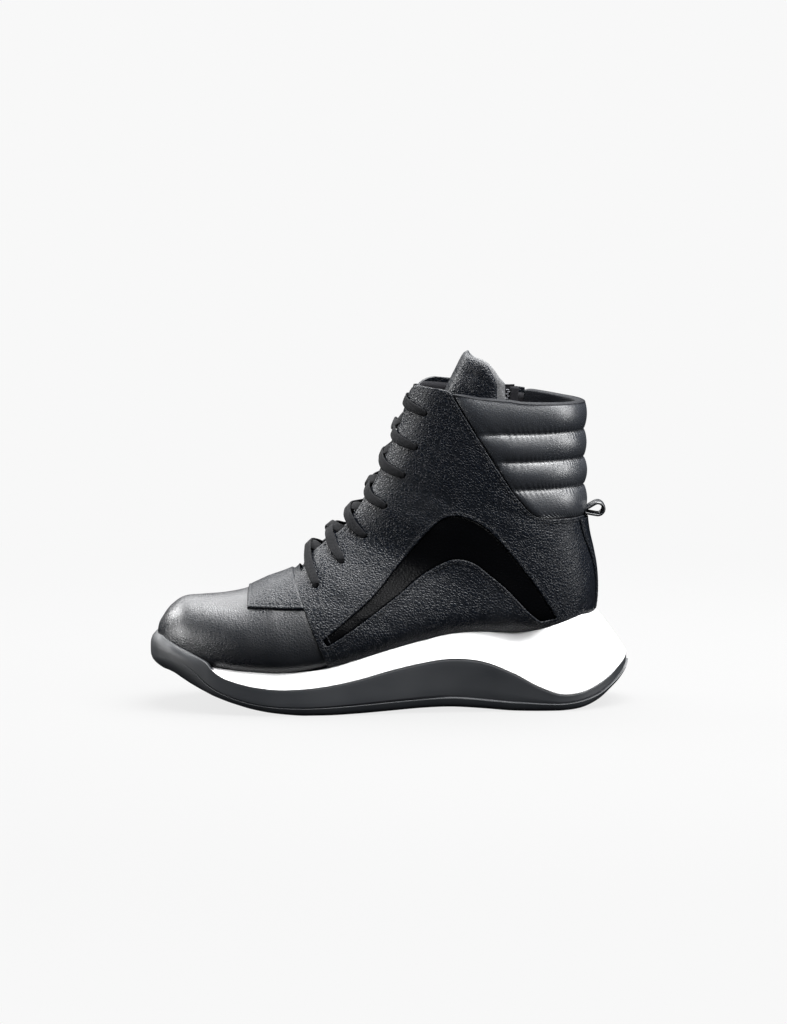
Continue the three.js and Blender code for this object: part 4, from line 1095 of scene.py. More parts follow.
def collar_rolls(seams, pinch):
    """Rows of points up the outer face, roll after roll, each with the row behind it."""
    side = side_of(COLLAR_COLUMNS)
    around = 0.6 * np.arange(len(COLLAR_COLUMNS))
    top_roll = len(seams) - 2
    for roll in range(top_roll + 1):
        is_top = roll == top_roll
        for t in np.linspace(0, 1, 17 if is_top else 15)[: None if is_top else -1]:
            u, v = collar_row(lerp(seams[roll], seams[roll + 1], t), COLLAR_COLUMNS)
            bulge = roll_bulge(t * TOP_TURN if is_top else t)
            near_seam = ridge(t if is_top else min(t, 1 - t), 0.16)
            pucker = PUCKER * near_seam * np.sin(around * 2.1 + 2.2 * np.sin(around * 0.23 + roll))
            sag = SAG * np.sin(around * 0.13 + roll * 1.7) * bulge
            depth = ROLL_VALLEY - (ROLL_PEAK + ROLL_VALLEY) * bulge * pinch + pucker + sag * pinch
            yield skin(u, v, side, depth), skin(u, v, side, PAD_BACK)


def quilted_collar():
    """The padding: four rolls outside, rounded over the rim and down inside."""
    side = side_of(COLLAR_COLUMNS)
    edge = np.minimum((1 - np.abs(COLLAR_COLUMNS)) / 0.10, 1.0)
    pinch = np.sqrt(1 - (1 - edge) ** 2)
    crest = collar_crest()
    rows = list(collar_rolls([*QUILT_SEAMS, crest], pinch))
    rows_outside = len(rows) - 1
    u, v = collar_row(crest, COLLAR_COLUMNS)
    top = skin(u, v, side)
    inward = -skin_normal(u, v, side)
    full = PAD_DEPTH + PAD_LINING
    start = ROLL_VALLEY - (ROLL_PEAK + ROLL_VALLEY) * roll_bulge(TOP_TURN)
    for angle in np.linspace(0, np.pi, 14)[1:]:
        across = lerp(start, full, (1 - math.cos(angle)) / 2)
        rise = RIM_ROUND * math.sin(angle) * np.maximum(pinch, 0.25)
        rounded = top + inward * across + np.outer(rise, [0, 0, 1])
        rows.append((rounded, top + inward * PAD_BACK + [0, 0, -0.8]))
    for t in np.linspace(1, 0.15, 10)[1:]:
        u, v = collar_row(lerp(QUILT_SEAMS[-1], crest, t), COLLAR_COLUMNS)
        swell = 0.35 * math.sin(math.pi * t)
        rows.append((skin(u, v, side, full + swell), skin(u, v, side, PAD_DEPTH + 0.2)))
    outer, inner = zip(*rows)
    pad = object_from("quilted_collar_pad", shell(np.array(outer), np.array(inner)), SOFT)
    row_faces = len(COLLAR_COLUMNS) - 1
    dress_faces(pad, PAD_INSIDE, rows_outside * row_faces, (len(rows) - 1) * row_faces)
    return pad


def collar_thread():
    parts = []
    columns = np.linspace(-0.985, 0.985, 200)
    side = side_of(columns)
    for seam in QUILT_SEAMS[1:]:
        u, v = collar_row(seam, columns)
        path = skin(u, v, side, ROLL_VALLEY - 0.15)
        parts.append(stitch_row(path, skin_normal(u, v, side), length=2.3, pitch=3.0, radius=0.3))
    return join("collar_thread", parts, THREAD)


# Tongue and its base over the vamp

TONGUE_FOOT = 0.15
TONGUE_HALF = {LATERAL: 0.486, MEDIAL: 0.5}
TONGUE_NARROWING = {LATERAL: 0.009, MEDIAL: 0.004}
TONGUE_LEAN = 0.113
TONGUE_TOP = 29.92
TONGUE_FALL = {LATERAL: 0.3, MEDIAL: 0.55}
TONGUE_CORNER = 1.1
TONGUE_CLEARANCE = 1.3
TONGUE_THICKNESS = 4.5
TONGUE_WIDTH = 60.0  # about, for the distances to its edges
TONGUE_HEIGHT = 150.0
LEAN_ROWS = (14, 28.5)
TUCK_ROWS = (15, 21)


def tongue_place(share, column, depth):
    reach = np.abs(column)

    def sided(values):
        return np.where(column < 0, values[LATERAL], values[MEDIAL])

    def over(rows):
        return smooth((u - rows[0]) / (rows[1] - rows[0]))

    top = TONGUE_TOP - TONGUE_CORNER * reach**10 - sided(TONGUE_FALL) * smooth(reach / 0.8)
    u = lerp(STEP_ROW - 0.3, top, share)
    widest = sided(TONGUE_HALF) - sided(TONGUE_NARROWING) * np.maximum(0, u - RIM_ROW + 0.4)
    half = lerp(TONGUE_FOOT, widest, smooth((u - STEP_ROW) / (RIM_ROW - 0.5 - STEP_ROW)))
    tuck = (PAD_DEPTH + PAD_LINING - WALL) * over(TUCK_ROWS) * smooth((reach - 0.2) / 0.5)
    p = skin(u, reach * half, side_of(column), depth + tuck, bare_point)
    lean = TONGUE_LEAN * SHAFT * over(LEAN_ROWS) * (1 - reach**2)
    return p + lean[..., None] * [1.0, 0, 0]


def tongue():
    """Its outer face is pebbled, with a trough along its edge, and its back is lined."""
    share, column = grid(np.linspace(0, 1, 150), np.linspace(-1, 1, 90))
    edge = np.minimum((1 - np.abs(column)) * TONGUE_WIDTH / 2, (1 - share) * TONGUE_HEIGHT)
    rounding = edge_rounding(edge, 3.0, TONGUE_THICKNESS / 2 - 0.4)
    trough = 0.55 * ridge(edge - 5.0, 0.8) * smooth((share - 0.55) / 0.1)
    trough *= smooth((np.abs(column) - 0.3) / 0.25)
    front = WALL + TONGUE_CLEARANCE
    outer = tongue_place(share, column, front + rounding + trough)
    inner = tongue_place(share, column, front + TONGUE_THICKNESS - rounding)
    pad = object_from("tongue_pad", shell(outer, inner), PEBBLED)
    count = (outer.shape[0] - 1) * (outer.shape[1] - 1)
    dress_faces(pad, TONGUE_LINING, count, 2 * count)
    return pad


TAB_FRONT = 7.1
TAB_REACH = (0.225, 0.335)
TAB_THICKNESS = 1.55
TAB_HALF_WIDTH = 38.0  # about, for the distances to its edges
TAB_LENGTH = 40.0


def tab_place(share, column, depth):
    u = lerp(TAB_FRONT - 0.05 * np.abs(column), STEP_ROW + 0.5, share)
    return skin(u, np.abs(column) * lerp(*TAB_REACH, share), side_of(column), depth + under_quarter(u))


def vamp_tab():
    share, column = grid(np.linspace(0, 1, 70), np.linspace(-1, 1, 130))
    edge = np.minimum((1 - np.abs(column)) * TAB_HALF_WIDTH, share * TAB_LENGTH)
    tuck = 1.6 * smooth((share - 0.78) / 0.06)
    relief = edge_rounding(edge, 1.0, 0.7) + 0.2 * ridge(edge - 2.4, 0.6) + tuck
    outer = tab_place(share, column, relief - TAB_THICKNESS)
    inner = tab_place(share, column, -0.05)
    return object_from("vamp_tab_leather", shell(outer, inner), PEBBLED)


# Heel strip and pull loop

STRIP_HEIGHTS = (0.09, 0.445)
STRIP_HALF = (0.07, 0.15)  # of the ball width, at the foot and at the top
STRIP_THICKNESS = 1.3
STRIP_STITCH_GAP = 2.2


def back_v(height, side, y):
    """v at a height where the heel is a given distance from the middle plane."""
    def past(v):
        return np.abs(skin_point(level_row(height, v, side), v, side)[..., 1]) < y
    return bisect(np.full(height.shape, 0.5), np.full(height.shape, 1.0), past, 18)


def heel_strip():
    """The strip and its two rows of stitches."""
    height, column = grid(np.linspace(*STRIP_HEIGHTS, 90), np.linspace(-1, 1, 41))
    half = lerp(*STRIP_HALF, smooth((height - 0.1) / 0.34) ** 1.5) * BALL_WIDTH
    side = side_of(column)
    v = back_v(height, side, np.abs(column) * half)
    edge = (1 - np.abs(column)) * half
    relief = edge_rounding(edge, 1.0, 0.7) + 0.2 * ridge(edge - STRIP_STITCH_GAP, 0.5)
    part = layer(level_row(height, v, side), v, side, relief - STRIP_THICKNESS, -0.02)
    strip = object_from("heel_strip_leather", part, PEBBLED)
    height = height[:, 0]
    rows = []
    for side in SIDES:
        v = back_v(height, side, half[:, 0] - STRIP_STITCH_GAP)
        rows.append(skin_stitches(line(level_row(height, v, side), v), side, 0.15 - STRIP_THICKNESS))
    return strip, join("heel_thread", rows, THREAD)


LOOP_REACH = 10.8
LOOP_HEIGHT = 9.0
LOOP_RISE = 2.2
LOOP_TILT = 0.17
LOOP_OFFSET = 0.75
LOOP_STRAP = 2.0
LOOP_WIDTH = 15.0
LOOP_GAP = 0.3
LOOP_TUCK = 2.4  # how far its ends go in under the lowest roll
STRAP_SIDES = 16


def sweep(path, across, up, half_width, thickness, closed=False):
    """A flat strap with rounded edges along a path. across and up are unit vectors at its points."""
    turn = np.linspace(0, 2 * np.pi, STRAP_SIDES, endpoint=False)
    flat = np.sign(np.cos(turn)) * np.abs(np.cos(turn)) ** 0.35
    thick = np.sign(np.sin(turn)) * np.abs(np.sin(turn)) ** 0.8
    rows = len(path)
    width = np.broadcast_to(half_width, rows)[:, None] * flat
    depth = np.broadcast_to(thickness, rows)[:, None] * thick / 2
    points = path[:, None] + across[:, None] * width[..., None] + up[:, None] * depth[..., None]
    if not closed:
        return points.reshape(-1, 3), tube_faces(rows, STRAP_SIDES)
    faces = grid_faces(rows, STRAP_SIDES, around=True)
    turned = [(j + 1) % STRAP_SIDES for j in range(STRAP_SIDES)]
    last = (rows - 1) * STRAP_SIDES
    faces += [(last + j, last + k, k, j) for j, k in enumerate(turned)]
    return points.reshape(-1, 3), faces


def loop_outline():
    """The loop's middle line, level: a wide arc at its fold and a narrow one round its ends."""
    fold, fold_x = (LOOP_HEIGHT - LOOP_STRAP) / 2, LOOP_REACH - LOOP_HEIGHT / 2
    end, end_x = LOOP_GAP + LOOP_STRAP / 2, LOOP_STRAP + LOOP_GAP - LOOP_TUCK
    turn = math.acos((end - fold) / (fold_x - end_x))
    wide, narrow = np.linspace(-turn, turn, 40), np.linspace(turn, 2 * np.pi - turn, 14)
    arcs = [line(fold_x + fold * np.cos(wide), fold * np.sin(wide)),
            line(end_x + end * np.cos(narrow), end * np.sin(narrow))]
    return resample(np.vstack(arcs), 0.42)


def pull_loop():
    """A strap folded at the back seam, tilted up, its ends under the lowest roll."""
    root = skin_point(RIM_ROW - 5, 1.0, LATERAL)
    foot = [root[0] + LOOP_OFFSET, 0, bed(root[0]) + QUILT_SEAMS[0] * SHAFT + LOOP_RISE]
    ahead = np.array([math.cos(LOOP_TILT), 0, math.sin(LOOP_TILT)])
    above = np.array([-math.sin(LOOP_TILT), 0, math.cos(LOOP_TILT)])
    flat = loop_outline()
    path = foot + flat[:, :1] * ahead + flat[:, 1:] * above
    across = np.tile([0.0, 1.0, 0.0], (len(path), 1))
    up = np.cross(unit(np.roll(path, -1, 0) - np.roll(path, 1, 0)), across)
    strap = sweep(path, across, up, LOOP_WIDTH / 2, LOOP_STRAP, closed=True)
    return object_from("pull_loop_strap", strap, PLAIN)


# Laces

LACE_WIDTH = 5.6
LACE_THICKNESS = 1.25
LACE_HUMPS = (1.15, 2.5)  # height over the throat of the lower and the upper of two crossing bars
LACE_SINK = 3.3  # how far under the leather's face its hidden run lies
LACE_FOLD = 0.7  # the share of its width that is left there


def lace_route(start, finish, gap, hump, last):
    """A bar's way from its eyelet across the throat. Columns: share of the way to the next eyelet,
    distance from the middle plane, height above the leather, share of the lace's width."""
    rise = [
        (0.0, start, -3.4, 0.62),
        (0.0, start, -1.4, 0.60),
        (0.01, start - 0.5, 0.15, 0.66),
        (0.05, start - 2.2, 1.05, 0.86),
        (0.14, lerp(start, gap, 0.55), 1.2, 1.0),
    ]
    if last:
        return rise + [
            (0.25, gap + 0.2, 1.3, 1.0),
            (0.36, gap - 1.6, 0.2, 1.0),
            (0.42, gap - 2.6, -3.0, 1.0),
        ]
    return rise + [
        (0.3, gap + 0.4, 1.5, 1.0),
        (0.45, gap * 0.5, 1.0 + 0.4 * hump, 1.0),
        (0.58, 0.0, hump, 1.0),
        (0.68, -gap * 0.45, 0.6, 1.0),
        (0.77, -gap * 0.85, -1.6, 1.0),
        (0.86, -gap - 2.0, -3.3, 1.0),
        (0.97, -(finish - 1.5), -3.6, 0.8),
        (1.0, -finish, -3.4, 0.62),
    ]


def lace_bar(i, side, over):
    """From eyelet i up across the throat and under the other eyestay to the next eyelet."""
    u0, v0 = eyelet_row(i)
    last = i == len(EYELETS) - 1
    u1, v1 = (u0 + 1.6, v0) if last else eyelet_row(i + 1)
    start = abs(float(skin_point(u0, v0, side)[1]))
    finish = abs(float(skin_point(u1, v1, -side)[1]))
    gap = float(throat_half((u0 + u1) / 2, side))
    route = np.array(lace_route(start, finish, gap, LACE_HUMPS[over], last))
    table = np.vstack([2 * route[0] - route[1], route, 2 * route[-1] - route[-2]])
    steps = len(route) - 1
    share, y, height, width = catmull(table, np.linspace(0, steps - 1e-9, 14 * steps)).T
    u = lerp(u0, u1, share)
    hand = np.where(y >= 0, side, -side)
    v = v_at_half(u, np.abs(y), hand)
    path = skin_point(u, v, hand) + skin_normal(u, v, hand) * height[:, None]
    ahead = unit(np.gradient(path, axis=0))
    steady = skin_normal(u, np.maximum(v, 0.02), hand)
    across = unit(np.cross(ahead, steady))
    # Where the lace dives its width still lies along the throat
    along = unit(skin_point(u + 0.2, v, hand) - skin_point(u - 0.2, v, hand))
    dive = smooth((np.abs((ahead * steady).sum(1)) - 0.5) / 0.4)[:, None]
    across = lerp(across * np.sign((across * along).sum(1))[:, None], along, dive)
    across = unit(across - ahead * (across * ahead).sum(1)[:, None])
    thickness = LACE_THICKNESS * (1 + 0.7 * (1 - width))
    return sweep(path, across, np.cross(across, ahead), LACE_WIDTH / 2 * width, thickness)


def lowest_bar():
    """The straight run under the leather between the lowest eyelets."""
    u, v = eyelet_row(0)
    start = abs(float(skin_point(u, v, LATERAL)[1]))
    y = np.linspace(start, -start, 40)
    hand = np.where(y > 0, LATERAL, MEDIAL)
    v = v_at_half(u, np.abs(y), hand)
    normal = skin_normal(u, v, hand)
    path = skin_point(u, v, hand) - normal * LACE_SINK
    across = np.cross(unit(np.gradient(path, axis=0)), normal)
    return sweep(path, across, normal, LACE_WIDTH / 2 * LACE_FOLD, LACE_THICKNESS)


def laces():
    bars = [lace_bar(i, side, i % 2 == turn) for i in range(len(EYELETS)) for turn, side in enumerate(SIDES)]
    return join("lace", [*bars, lowest_bar()], LACE)


# Sole

SOLE_LENGTH = BUMPER + LENGTH + HEEL_TAIL
SOLE_LAST = len(SOLE_ROWS) - 1
WALL_INSET = 1.2
BUMPER_INSET = 3.4


def mirrored(row, tip):
    """A row carried on round a tip of the sole, where its sides change places."""
    return row[[0, 2, 1, 3, 4, 5, 6]] * [-1, -1, -1, 1, 1, 1, 1] + [2 * tip, 0, 0, 0, 0, 0, 0]


SOLE_TABLE = np.vstack([mirrored(SOLE_ROWS[1], 0), SOLE_ROWS, mirrored(SOLE_ROWS[-2], 1)])


def sole_heights(k):
    """Heights of the underside, the ledge, the wave and the midsole's rim."""
    w = catmull(SOLE_TABLE, k)
    x = w[..., 0] * SOLE_LENGTH - BUMPER
    rim = bed(np.maximum(0, x)) + w[..., 6] * LIP_HEIGHT
    wave = np.minimum(w[..., 5], 1.0) * rim
    ledge = w[..., 4] * wave
    return np.maximum(0, w[..., 3]) * ledge, ledge, wave, rim


def plan_point(k, side):
    beyond = (k < 0) | (k > SOLE_LAST)
    inner_k = np.where(k < 0, -k, np.where(beyond, 2 * SOLE_LAST - k, k))
    hand = np.where(beyond, -side, side)
    w = catmull(SOLE_TABLE, inner_k)
    half = np.where(hand < 0, w[..., 1], w[..., 2]) * SOLE_WIDTH
    return line(w[..., 0] * SOLE_LENGTH - BUMPER, hand * half)


def sole_point(k, side, inset, z):
    """A point inside the sole's outline by an inset."""
    ahead = unit(plan_point(k + 0.25, side) - plan_point(k - 0.25, side))
    inwards = line(ahead[..., 1] * side, -ahead[..., 0] * side)
    p = plan_point(k, side) + inwards * np.asarray(inset)[..., None]
    tip = (k < 1e-6) | (k > SOLE_LAST - 1e-6)
    return np.stack([p[..., 0], np.where(tip, 0, p[..., 1]), np.broadcast_to(z, k.shape)], -1)


def station_share(k):
    return catmull(SOLE_TABLE, k)[..., 0]


def toe_share(k):
    return 1 - smooth((station_share(k) - 0.07) / 0.06)


def top_inset(k):
    return lerp(WALL_INSET, BUMPER_INSET, toe_share(k))


def half_width(x, z, side):
    """Half width of the upper at a side-view point, 0 outside its outline."""
    found = skin_point(*locate(x, z, side), side)
    off = np.hypot(found[..., 0] - x, found[..., 2] - z)
    return np.where(off < 0.4, np.abs(found[..., 1]), 0.0)


LIP_PIVOT = 0.84  # of the length: the heel's rim is found along lines from here


def lip_point(k, side, reach_out):
    """A point at the midsole rim's height, outside the upper by a distance."""
    base = sole_point(k, side, np.full(k.shape, WALL_INSET), 0.0)
    rim = sole_heights(k)[3]
    pivot = np.minimum(base[..., 0], LIP_PIVOT * LENGTH)
    reach = line(base[..., 0] - pivot, base[..., 1])

    def outside(t):
        return half_width(pivot + reach[..., 0] * t, rim, side) < np.abs(reach[..., 1] * t) + 1e-3

    t = bisect(np.full(k.shape, 0.05), np.ones(k.shape), outside, 20)
    p = reach * t[..., None] + unit(reach) * reach_out
    return np.stack([pivot + p[..., 0], p[..., 1], rim], -1)


def capped_loops(loops):
    """A closed solid from a stack of loops, each a left row and a right row joined."""
    rows, columns = len(loops), len(loops[0])
    faces = grid_faces(rows, columns, around=True)
    last = (rows - 1) * columns
    for a in range(columns // 2 - 1):
        b = columns - 1 - a
        faces.append((a + 1, a, b, b - 1))
        faces.append((last + a, last + a + 1, last + b - 1, last + b))
    return np.array(loops).reshape(-1, 3), faces


def both_sides(point_at):
    """A closed loop from a row of points on each side."""
    return np.vstack([point_at(LATERAL), point_at(MEDIAL)[::-1]])


# The sole's side from its underside up: level, from 0 at the underside over 1 at the ledge to 2 at the
# wave, and the inset there as a share of WALL_INSET, under the heel and under the forefoot. A rounded
# foot, a plain face, under the heel a small step over the ledge and under the forefoot only a groove,
# and a plain face up to the wave.
SIDE_PROFILE = [
    (0.0, 3.0, 3.0),
    (0.01, 2.4, 2.4),
    (0.05, 1.9, 1.9),
    (0.12, 1.3, 1.3),
    (0.24, 0.8, 0.8),
    (0.45, 0.45, 0.45),
    (0.7, 0.22, 0.22),
    (0.88, 0.08, 0.08),
    (0.965, 0.0, 0.0),
    (0.985, 0.08, 0.12),
    (0.996, 0.5, 0.6),
    (1.003, 0.95, 0.7),
    (1.015, 1.08, 0.5),
    (1.04, 1.0, 0.16),
    (1.09, 0.88, 0.14),
    (1.3, 0.9, 0.34),
    (1.55, 1.0, 0.62),
    (1.8, 1.0, 0.88),
    (1.93, 1.0, 1.0),
    (1.975, 1.1, 1.1),
    (2.0, 1.45, 1.45),
]
STEP_FROM = 0.52
STEP_FADE = 0.16


def bumper_inset(level):
    """The toe's full round side: the inset at a level."""
    low = 1.2 * np.clip(1 - level / 0.95, 0, 1) ** 2.6
    high = np.clip((level - 1.06) / 0.94, 0, 1) ** 4
    return BUMPER_INSET * (low + high)


def outsole():
    k = np.linspace(0, SOLE_LAST, SOLE_LAST * 9 + 1)
    bottom, ledge, wave, _ = sole_heights(k)
    toe = toe_share(k)
    stepped = smooth((station_share(k) - STEP_FROM) / STEP_FADE)
    rows = []
    for level, heel_share, fore_share in SIDE_PROFILE:
        inset = lerp(lerp(fore_share, heel_share, stepped) * WALL_INSET, bumper_inset(level), toe)
        rows.append((inset, lerp(bottom, ledge, level) if level < 1 else lerp(ledge, wave, level - 1)))
    rows.append((top_inset(k) + 2.4, wave - 0.6 * toe))
    loops = [both_sides(lambda side: sole_point(k, side, inset, z)) for inset, z in rows]
    return object_from("outsole_rubber", capped_loops(loops), RUBBER)


MIDSOLE_LEAN = 1.1
MIDSOLE_GAP = 0.15  # to the outsole below it and the upper inside it
MIDSOLE_LEVELS = (0.0, 0.02, 0.08, 0.16, 0.26, 0.38, 0.5, 0.62, 0.74, 0.85, 0.93, 0.98)
# The rim's round, from its outer edge to inside the upper: share of the way and rise
MIDSOLE_ROUND = ((0.12, 0.0), (0.45, 0.35), (1.0, 0.3), (1.0, -3.0))


def midsole():
    first = float(np.interp(MIDSOLE_FROM, SOLE_ROWS[:, 0], np.arange(len(SOLE_ROWS))))
    k = np.linspace(first, SOLE_LAST, 200)
    _, _, wave, rim = sole_heights(k)
    low = both_sides(lambda side: sole_point(k, side, top_inset(k), wave + MIDSOLE_GAP))
    edge = both_sides(lambda side: lip_point(k, side, LIP))
    tucked = both_sides(lambda side: lip_point(k, side, MIDSOLE_GAP))
    loops = []
    for share in MIDSOLE_LEVELS:
        loop = lerp(low, edge, share**MIDSOLE_LEAN)
        loop[:, 2] = lerp(low[:, 2], edge[:, 2], share)
        loops.append(loop)
    loops += [lerp(edge, tucked, share) + [0, 0, rise] for share, rise in MIDSOLE_ROUND]
    return object_from("midsole_foam", capped_loops(loops), FOAM)


INSOLE_FRONT, INSOLE_BACK = 2.5, 0.955 * LENGTH
INSOLE_THICKNESS = 3.9
INSOLE_CUP = 1.6


def insole():
    x, column = grid(np.linspace(INSOLE_FRONT, INSOLE_BACK, 120), np.linspace(-1, 1, 41))
    low_z = bed(x) + WALL + 0.6
    halves = [half_width(x[:, 0], low_z[:, 0] + 1.5, side)[:, None] for side in SIDES]
    width = np.maximum(0.5, np.where(column < 0, *halves) - WALL - 0.9)
    top_z = low_z + INSOLE_THICKNESS + INSOLE_CUP * np.abs(column) ** 4
    top = np.stack([x, column * width, top_z], -1)
    low = np.stack([x, column * width * 0.98, low_z], -1)
    return object_from("insole_board", shell(top, low), LINING)


# Zip

ZIP_DEPTH = WALL + 0.6
TAPE_THICKNESS = 0.8
TAPE_ENDS = (0.175, 0.93)
TEETH_ENDS = (0.2, 0.92)
TOOTH_PITCH = 1.25
TOOTH_OFFSET = 0.55
# A tooth's sections from its root to its head: place along it, half width and half depth
TOOTH_ROWS = [(-1.35, 0.52, 0.55), (-0.2, 0.5, 0.7), (0.55, 0.34, 0.6), (1.1, 0.5, 0.55), (1.35, 0.3, 0.4)]
CORNERS = ((-1, -1), (1, -1), (1, 1), (-1, 1))


def zip_place(height, offset):
    return locate_share(tabled(ZIP_LINE, height) * LENGTH + offset, height, MEDIAL)


def zip_tape_pair():
    parts = []
    for hand in (-1, 1):
        offsets = np.linspace(1.4, ZIP_TAPE / 2, 6) * hand
        u, v = zip_place(*grid(np.linspace(*TAPE_ENDS, 80), offsets))
        parts.append(layer(u, v, MEDIAL, ZIP_DEPTH, ZIP_DEPTH + TAPE_THICKNESS))
    return join("zip_tape_pair", parts, TAPE)


def tooth(centre, normal, hand):
    """One moulded tooth, a small block with a narrower neck."""
    along = np.array([1.0, 0, 0])
    up = np.cross(normal, along)
    points = [centre - hand * t * along + a * width * up + b * depth * normal
              for t, width, depth in TOOTH_ROWS for a, b in CORNERS]
    return points, tube_faces(len(TOOTH_ROWS), len(CORNERS))


def zip_teeth():
    teeth = []
    for i, height in enumerate(np.arange(*TEETH_ENDS, TOOTH_PITCH / SHAFT)):
        hand = 1 if i % 2 else -1
        u, v = zip_place(height, TOOTH_OFFSET * hand)
        teeth.append(tooth(skin(u, v, MEDIAL, ZIP_DEPTH - 0.5), skin_normal(u, v, MEDIAL), hand))
    return join("zip_teeth", teeth, METAL)


# Camera, lights and ground, in metres

PHOTO_HEIGHT = 1024
MM_PER_PIXEL = 0.58
CAMERA_DISTANCE = 2.4
CAMERA_ELEVATION = 7.5
CAMERA_ROLL = 0.5
TARGET = (0.0031, 0.0013, 0.111)


def make_camera():
    data = bpy.data.cameras.new("camera")
    data.sensor_fit = "AUTO"
    data.sensor_width = 36.0
    data.lens = CAMERA_DISTANCE / (MM_PER_PIXEL * MM) / PHOTO_HEIGHT * data.sensor_width
    data.clip_start = 0.05
    camera = placed(bpy.data.objects.new("camera", data))
    tilt = math.radians(CAMERA_ELEVATION)
    roll = math.radians(CAMERA_ROLL)
    forward = Vector((0, math.cos(tilt), -math.sin(tilt)))
    right = Vector((1, 0, 0))
    up = right.cross(forward)
    turned_right = right * math.cos(roll) - up * math.sin(roll)
    turned_up = up * math.cos(roll) + right * math.sin(roll)
    rotation = Matrix((turned_right, turned_up, -forward)).transposed().to_4x4()
    camera.matrix_world = Matrix.Translation(Vector(TARGET) - forward * CAMERA_DISTANCE) @ rotation
    bpy.context.scene.camera = camera


# Name, place, the place each shines at, size and power in watts
LAMPS = [
    ("overhead", (0.3, 0.08, 1.2), (0.1, 0.02, 0.0), (1.5, 1.25), 145),
    ("behind", (-0.75, 1.0, 1.0), (-0.1, 0, 0.08), (1.9, 0.8), 24),
    ("toe_back", (-1.2, 0.6, 0.85), (-0.13, 0, 0.05), (0.8, 0.6), 24),
    ("front_key", (0.6, -1.0, 0.85), (0.06, 0, 0.1), (1.1, 0.55), 12),
    ("toe_side", (-1.4, -0.3, 0.3), (-0.12, 0, 0.03), (0.8, 0.5), 19),
    ("heel_side", (1.3, -0.45, 0.5), (0.08, 0, 0.1), (0.5, 0.9), 16),
]


def make_lamps():
    for name, place, target, size, power in LAMPS:
        data = bpy.data.lights.new(name, "AREA")
        data.shape = "RECTANGLE"
        data.size, data.size_y = size
        data.energy = power
        lamp = placed(bpy.data.objects.new(name, data))
        lamp.location = place
        lamp.rotation_euler = (Vector(target) - Vector(place)).to_track_quat("-Z", "Y").to_euler()


FLOOR_WHITE = 0.939
FLOOR_ALBEDO = 0.021
FLOOR_SHARE = 0.15  # of the white that comes from the lamps near the shoe
FLOOR_FADE = (0.25, 0.75)
FLOOR_FLAT, FLOOR_INNER = 2.7, 1.2  # how far the level part reaches, and the disc in its middle
FLOOR_CURVE, FLOOR_RISE = 1.2, 3.4
FLOOR_SIDES = 64


def floor_paint():
    """White paper: lit by the lamps near the shoe, where its shadow falls, and evenly white beyond."""
    material, tree, shader = new_material("floor_paint", (0.3, 0.3, 0.3), 0.9, Specular_IOR_Level=0.0,
                                          Emission_Color=(1, 1, 1, 1))
    reach = vector_reckon(tree, "LENGTH", (0, own_places(tree))).outputs["Value"]
    lit = spread(tree, reach, FLOOR_FADE, (1.0, 0.0), "SMOOTHERSTEP")
    paint = reckon(tree, "MULTIPLY", lit, FLOOR_ALBEDO)
    color = add(tree, "CombineColor", [(0, paint), (1, paint), (2, paint)])
    tree.links.new(color.outputs[0], shader.inputs["Base Color"])
    glow = reckon(tree, "MULTIPLY_ADD", lit, -FLOOR_SHARE, FLOOR_WHITE)
    tree.links.new(glow, shader.inputs["Emission Strength"])
    return material


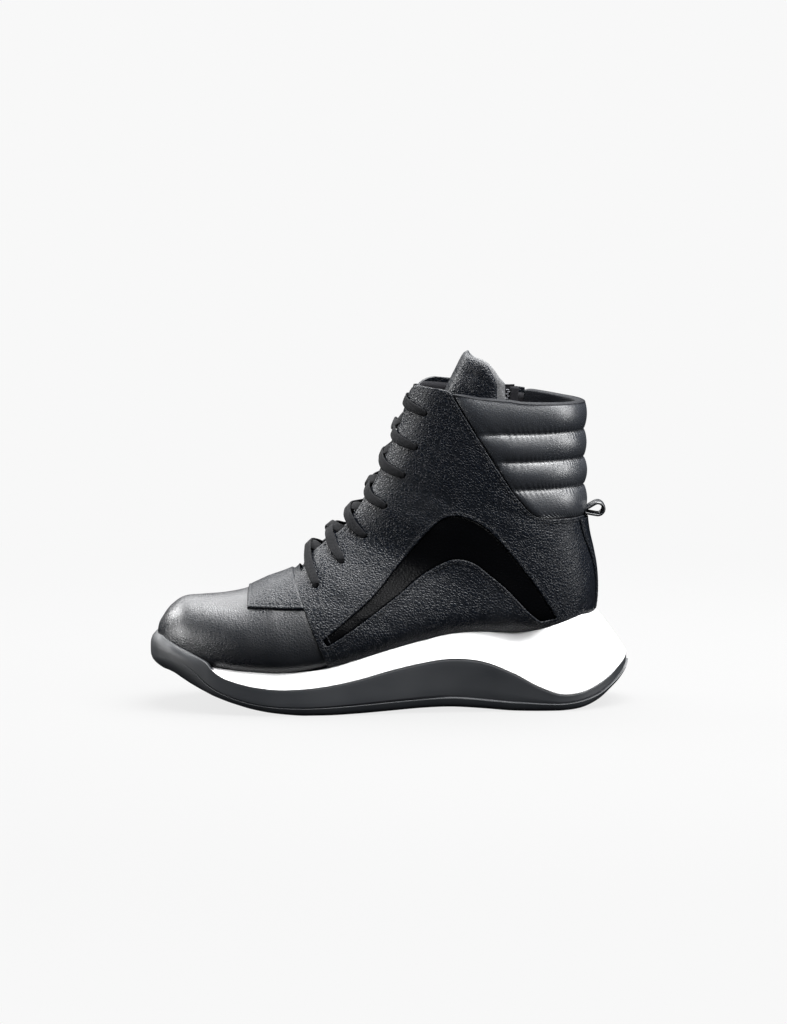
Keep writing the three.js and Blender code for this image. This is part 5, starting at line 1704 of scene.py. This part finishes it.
def make_floor():
    """A round floor that curves up all round. The lamps and the room light the leather, not the floor."""
    mesh = bpy.data.meshes.new("floor")
    arc = [(FLOOR_FLAT + FLOOR_CURVE * math.sin(a), FLOOR_CURVE * (1 - math.cos(a)))
           for a in np.linspace(0, math.pi / 2, 16)]
    profile = [(FLOOR_INNER, 0.0), *arc, (FLOOR_FLAT + FLOOR_CURVE, FLOOR_RISE)]
    turns = np.linspace(2 * math.pi, 0, FLOOR_SIDES, endpoint=False)
    points = [(r * math.cos(a), r * math.sin(a), z) for r, z in profile for a in turns]
    faces = grid_faces(len(profile), FLOOR_SIDES, around=True) + [tuple(reversed(range(FLOOR_SIDES)))]
    mesh.from_pydata(points, [], faces)
    mesh.polygons.foreach_set("use_smooth", [True] * len(mesh.polygons))
    mesh.materials.append(floor_paint())
    floor = placed(bpy.data.objects.new("floor", mesh))
    floor.visible_glossy = False
    floor.visible_diffuse = False


ROOM_DARK, ROOM_BRIGHT = 0.12, 2.2


def make_world():
    """A dark room in front of the shoe, and a bright one above and behind it."""
    world = bpy.data.worlds.new("studio")
    world.use_nodes = True
    tree = world.node_tree
    directions = add(tree, "TexCoord").outputs["Generated"]
    parts = add(tree, "SeparateXYZ", [("Vector", directions)]).outputs
    behind = spread(tree, parts["Y"], (0.25, 0.8), (0.0, 1.0), "SMOOTHSTEP")
    above = spread(tree, parts["Z"], (0.15, 0.45), (0.0, 1.0), "SMOOTHSTEP")
    light = reckon(tree, "MULTIPLY_ADD", reckon(tree, "MULTIPLY", behind, above), ROOM_BRIGHT, ROOM_DARK)
    tree.links.new(light, tree.nodes["Background"].inputs["Strength"])
    bpy.context.scene.world = world


make_camera()
make_world()
make_floor()
make_lamps()
bpy.context.scene.view_settings.view_transform = "Standard"
bpy.context.scene.view_settings.look = "None"

# The shoe

settle(outsole(), ["outsole"])
settle(midsole(), ["midsole"])
settle(vamp())
settle(quarter(LATERAL, "lateral_quarter"), ["upper"])
settle(quarter(MEDIAL, "medial_quarter"))
settle(arch_band(), ["arch_band"])
settle(quarter_thread())
settle(lining())
collar = settle(quilted_collar(), ["quilted_collar"])
settle(collar_thread())
tongue_pad = settle(tongue(), ["tongue"])
settle(vamp_tab(), ["vamp_tab"])
strip, strip_thread = heel_strip()
settle(strip, ["heel_strip"])
settle(strip_thread)
settle(pull_loop(), ["pull_loop"])
settle(insole(), ["insole"])
settle(laces(), [f"lace_{i + 1}" for i in range(len(EYELETS))])
settle(zip_tape_pair(), ["zip"])
settle(zip_teeth())
for node in ("zip_slider", "zip_pull"):
    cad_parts[node].material_slots[0].material = METAL
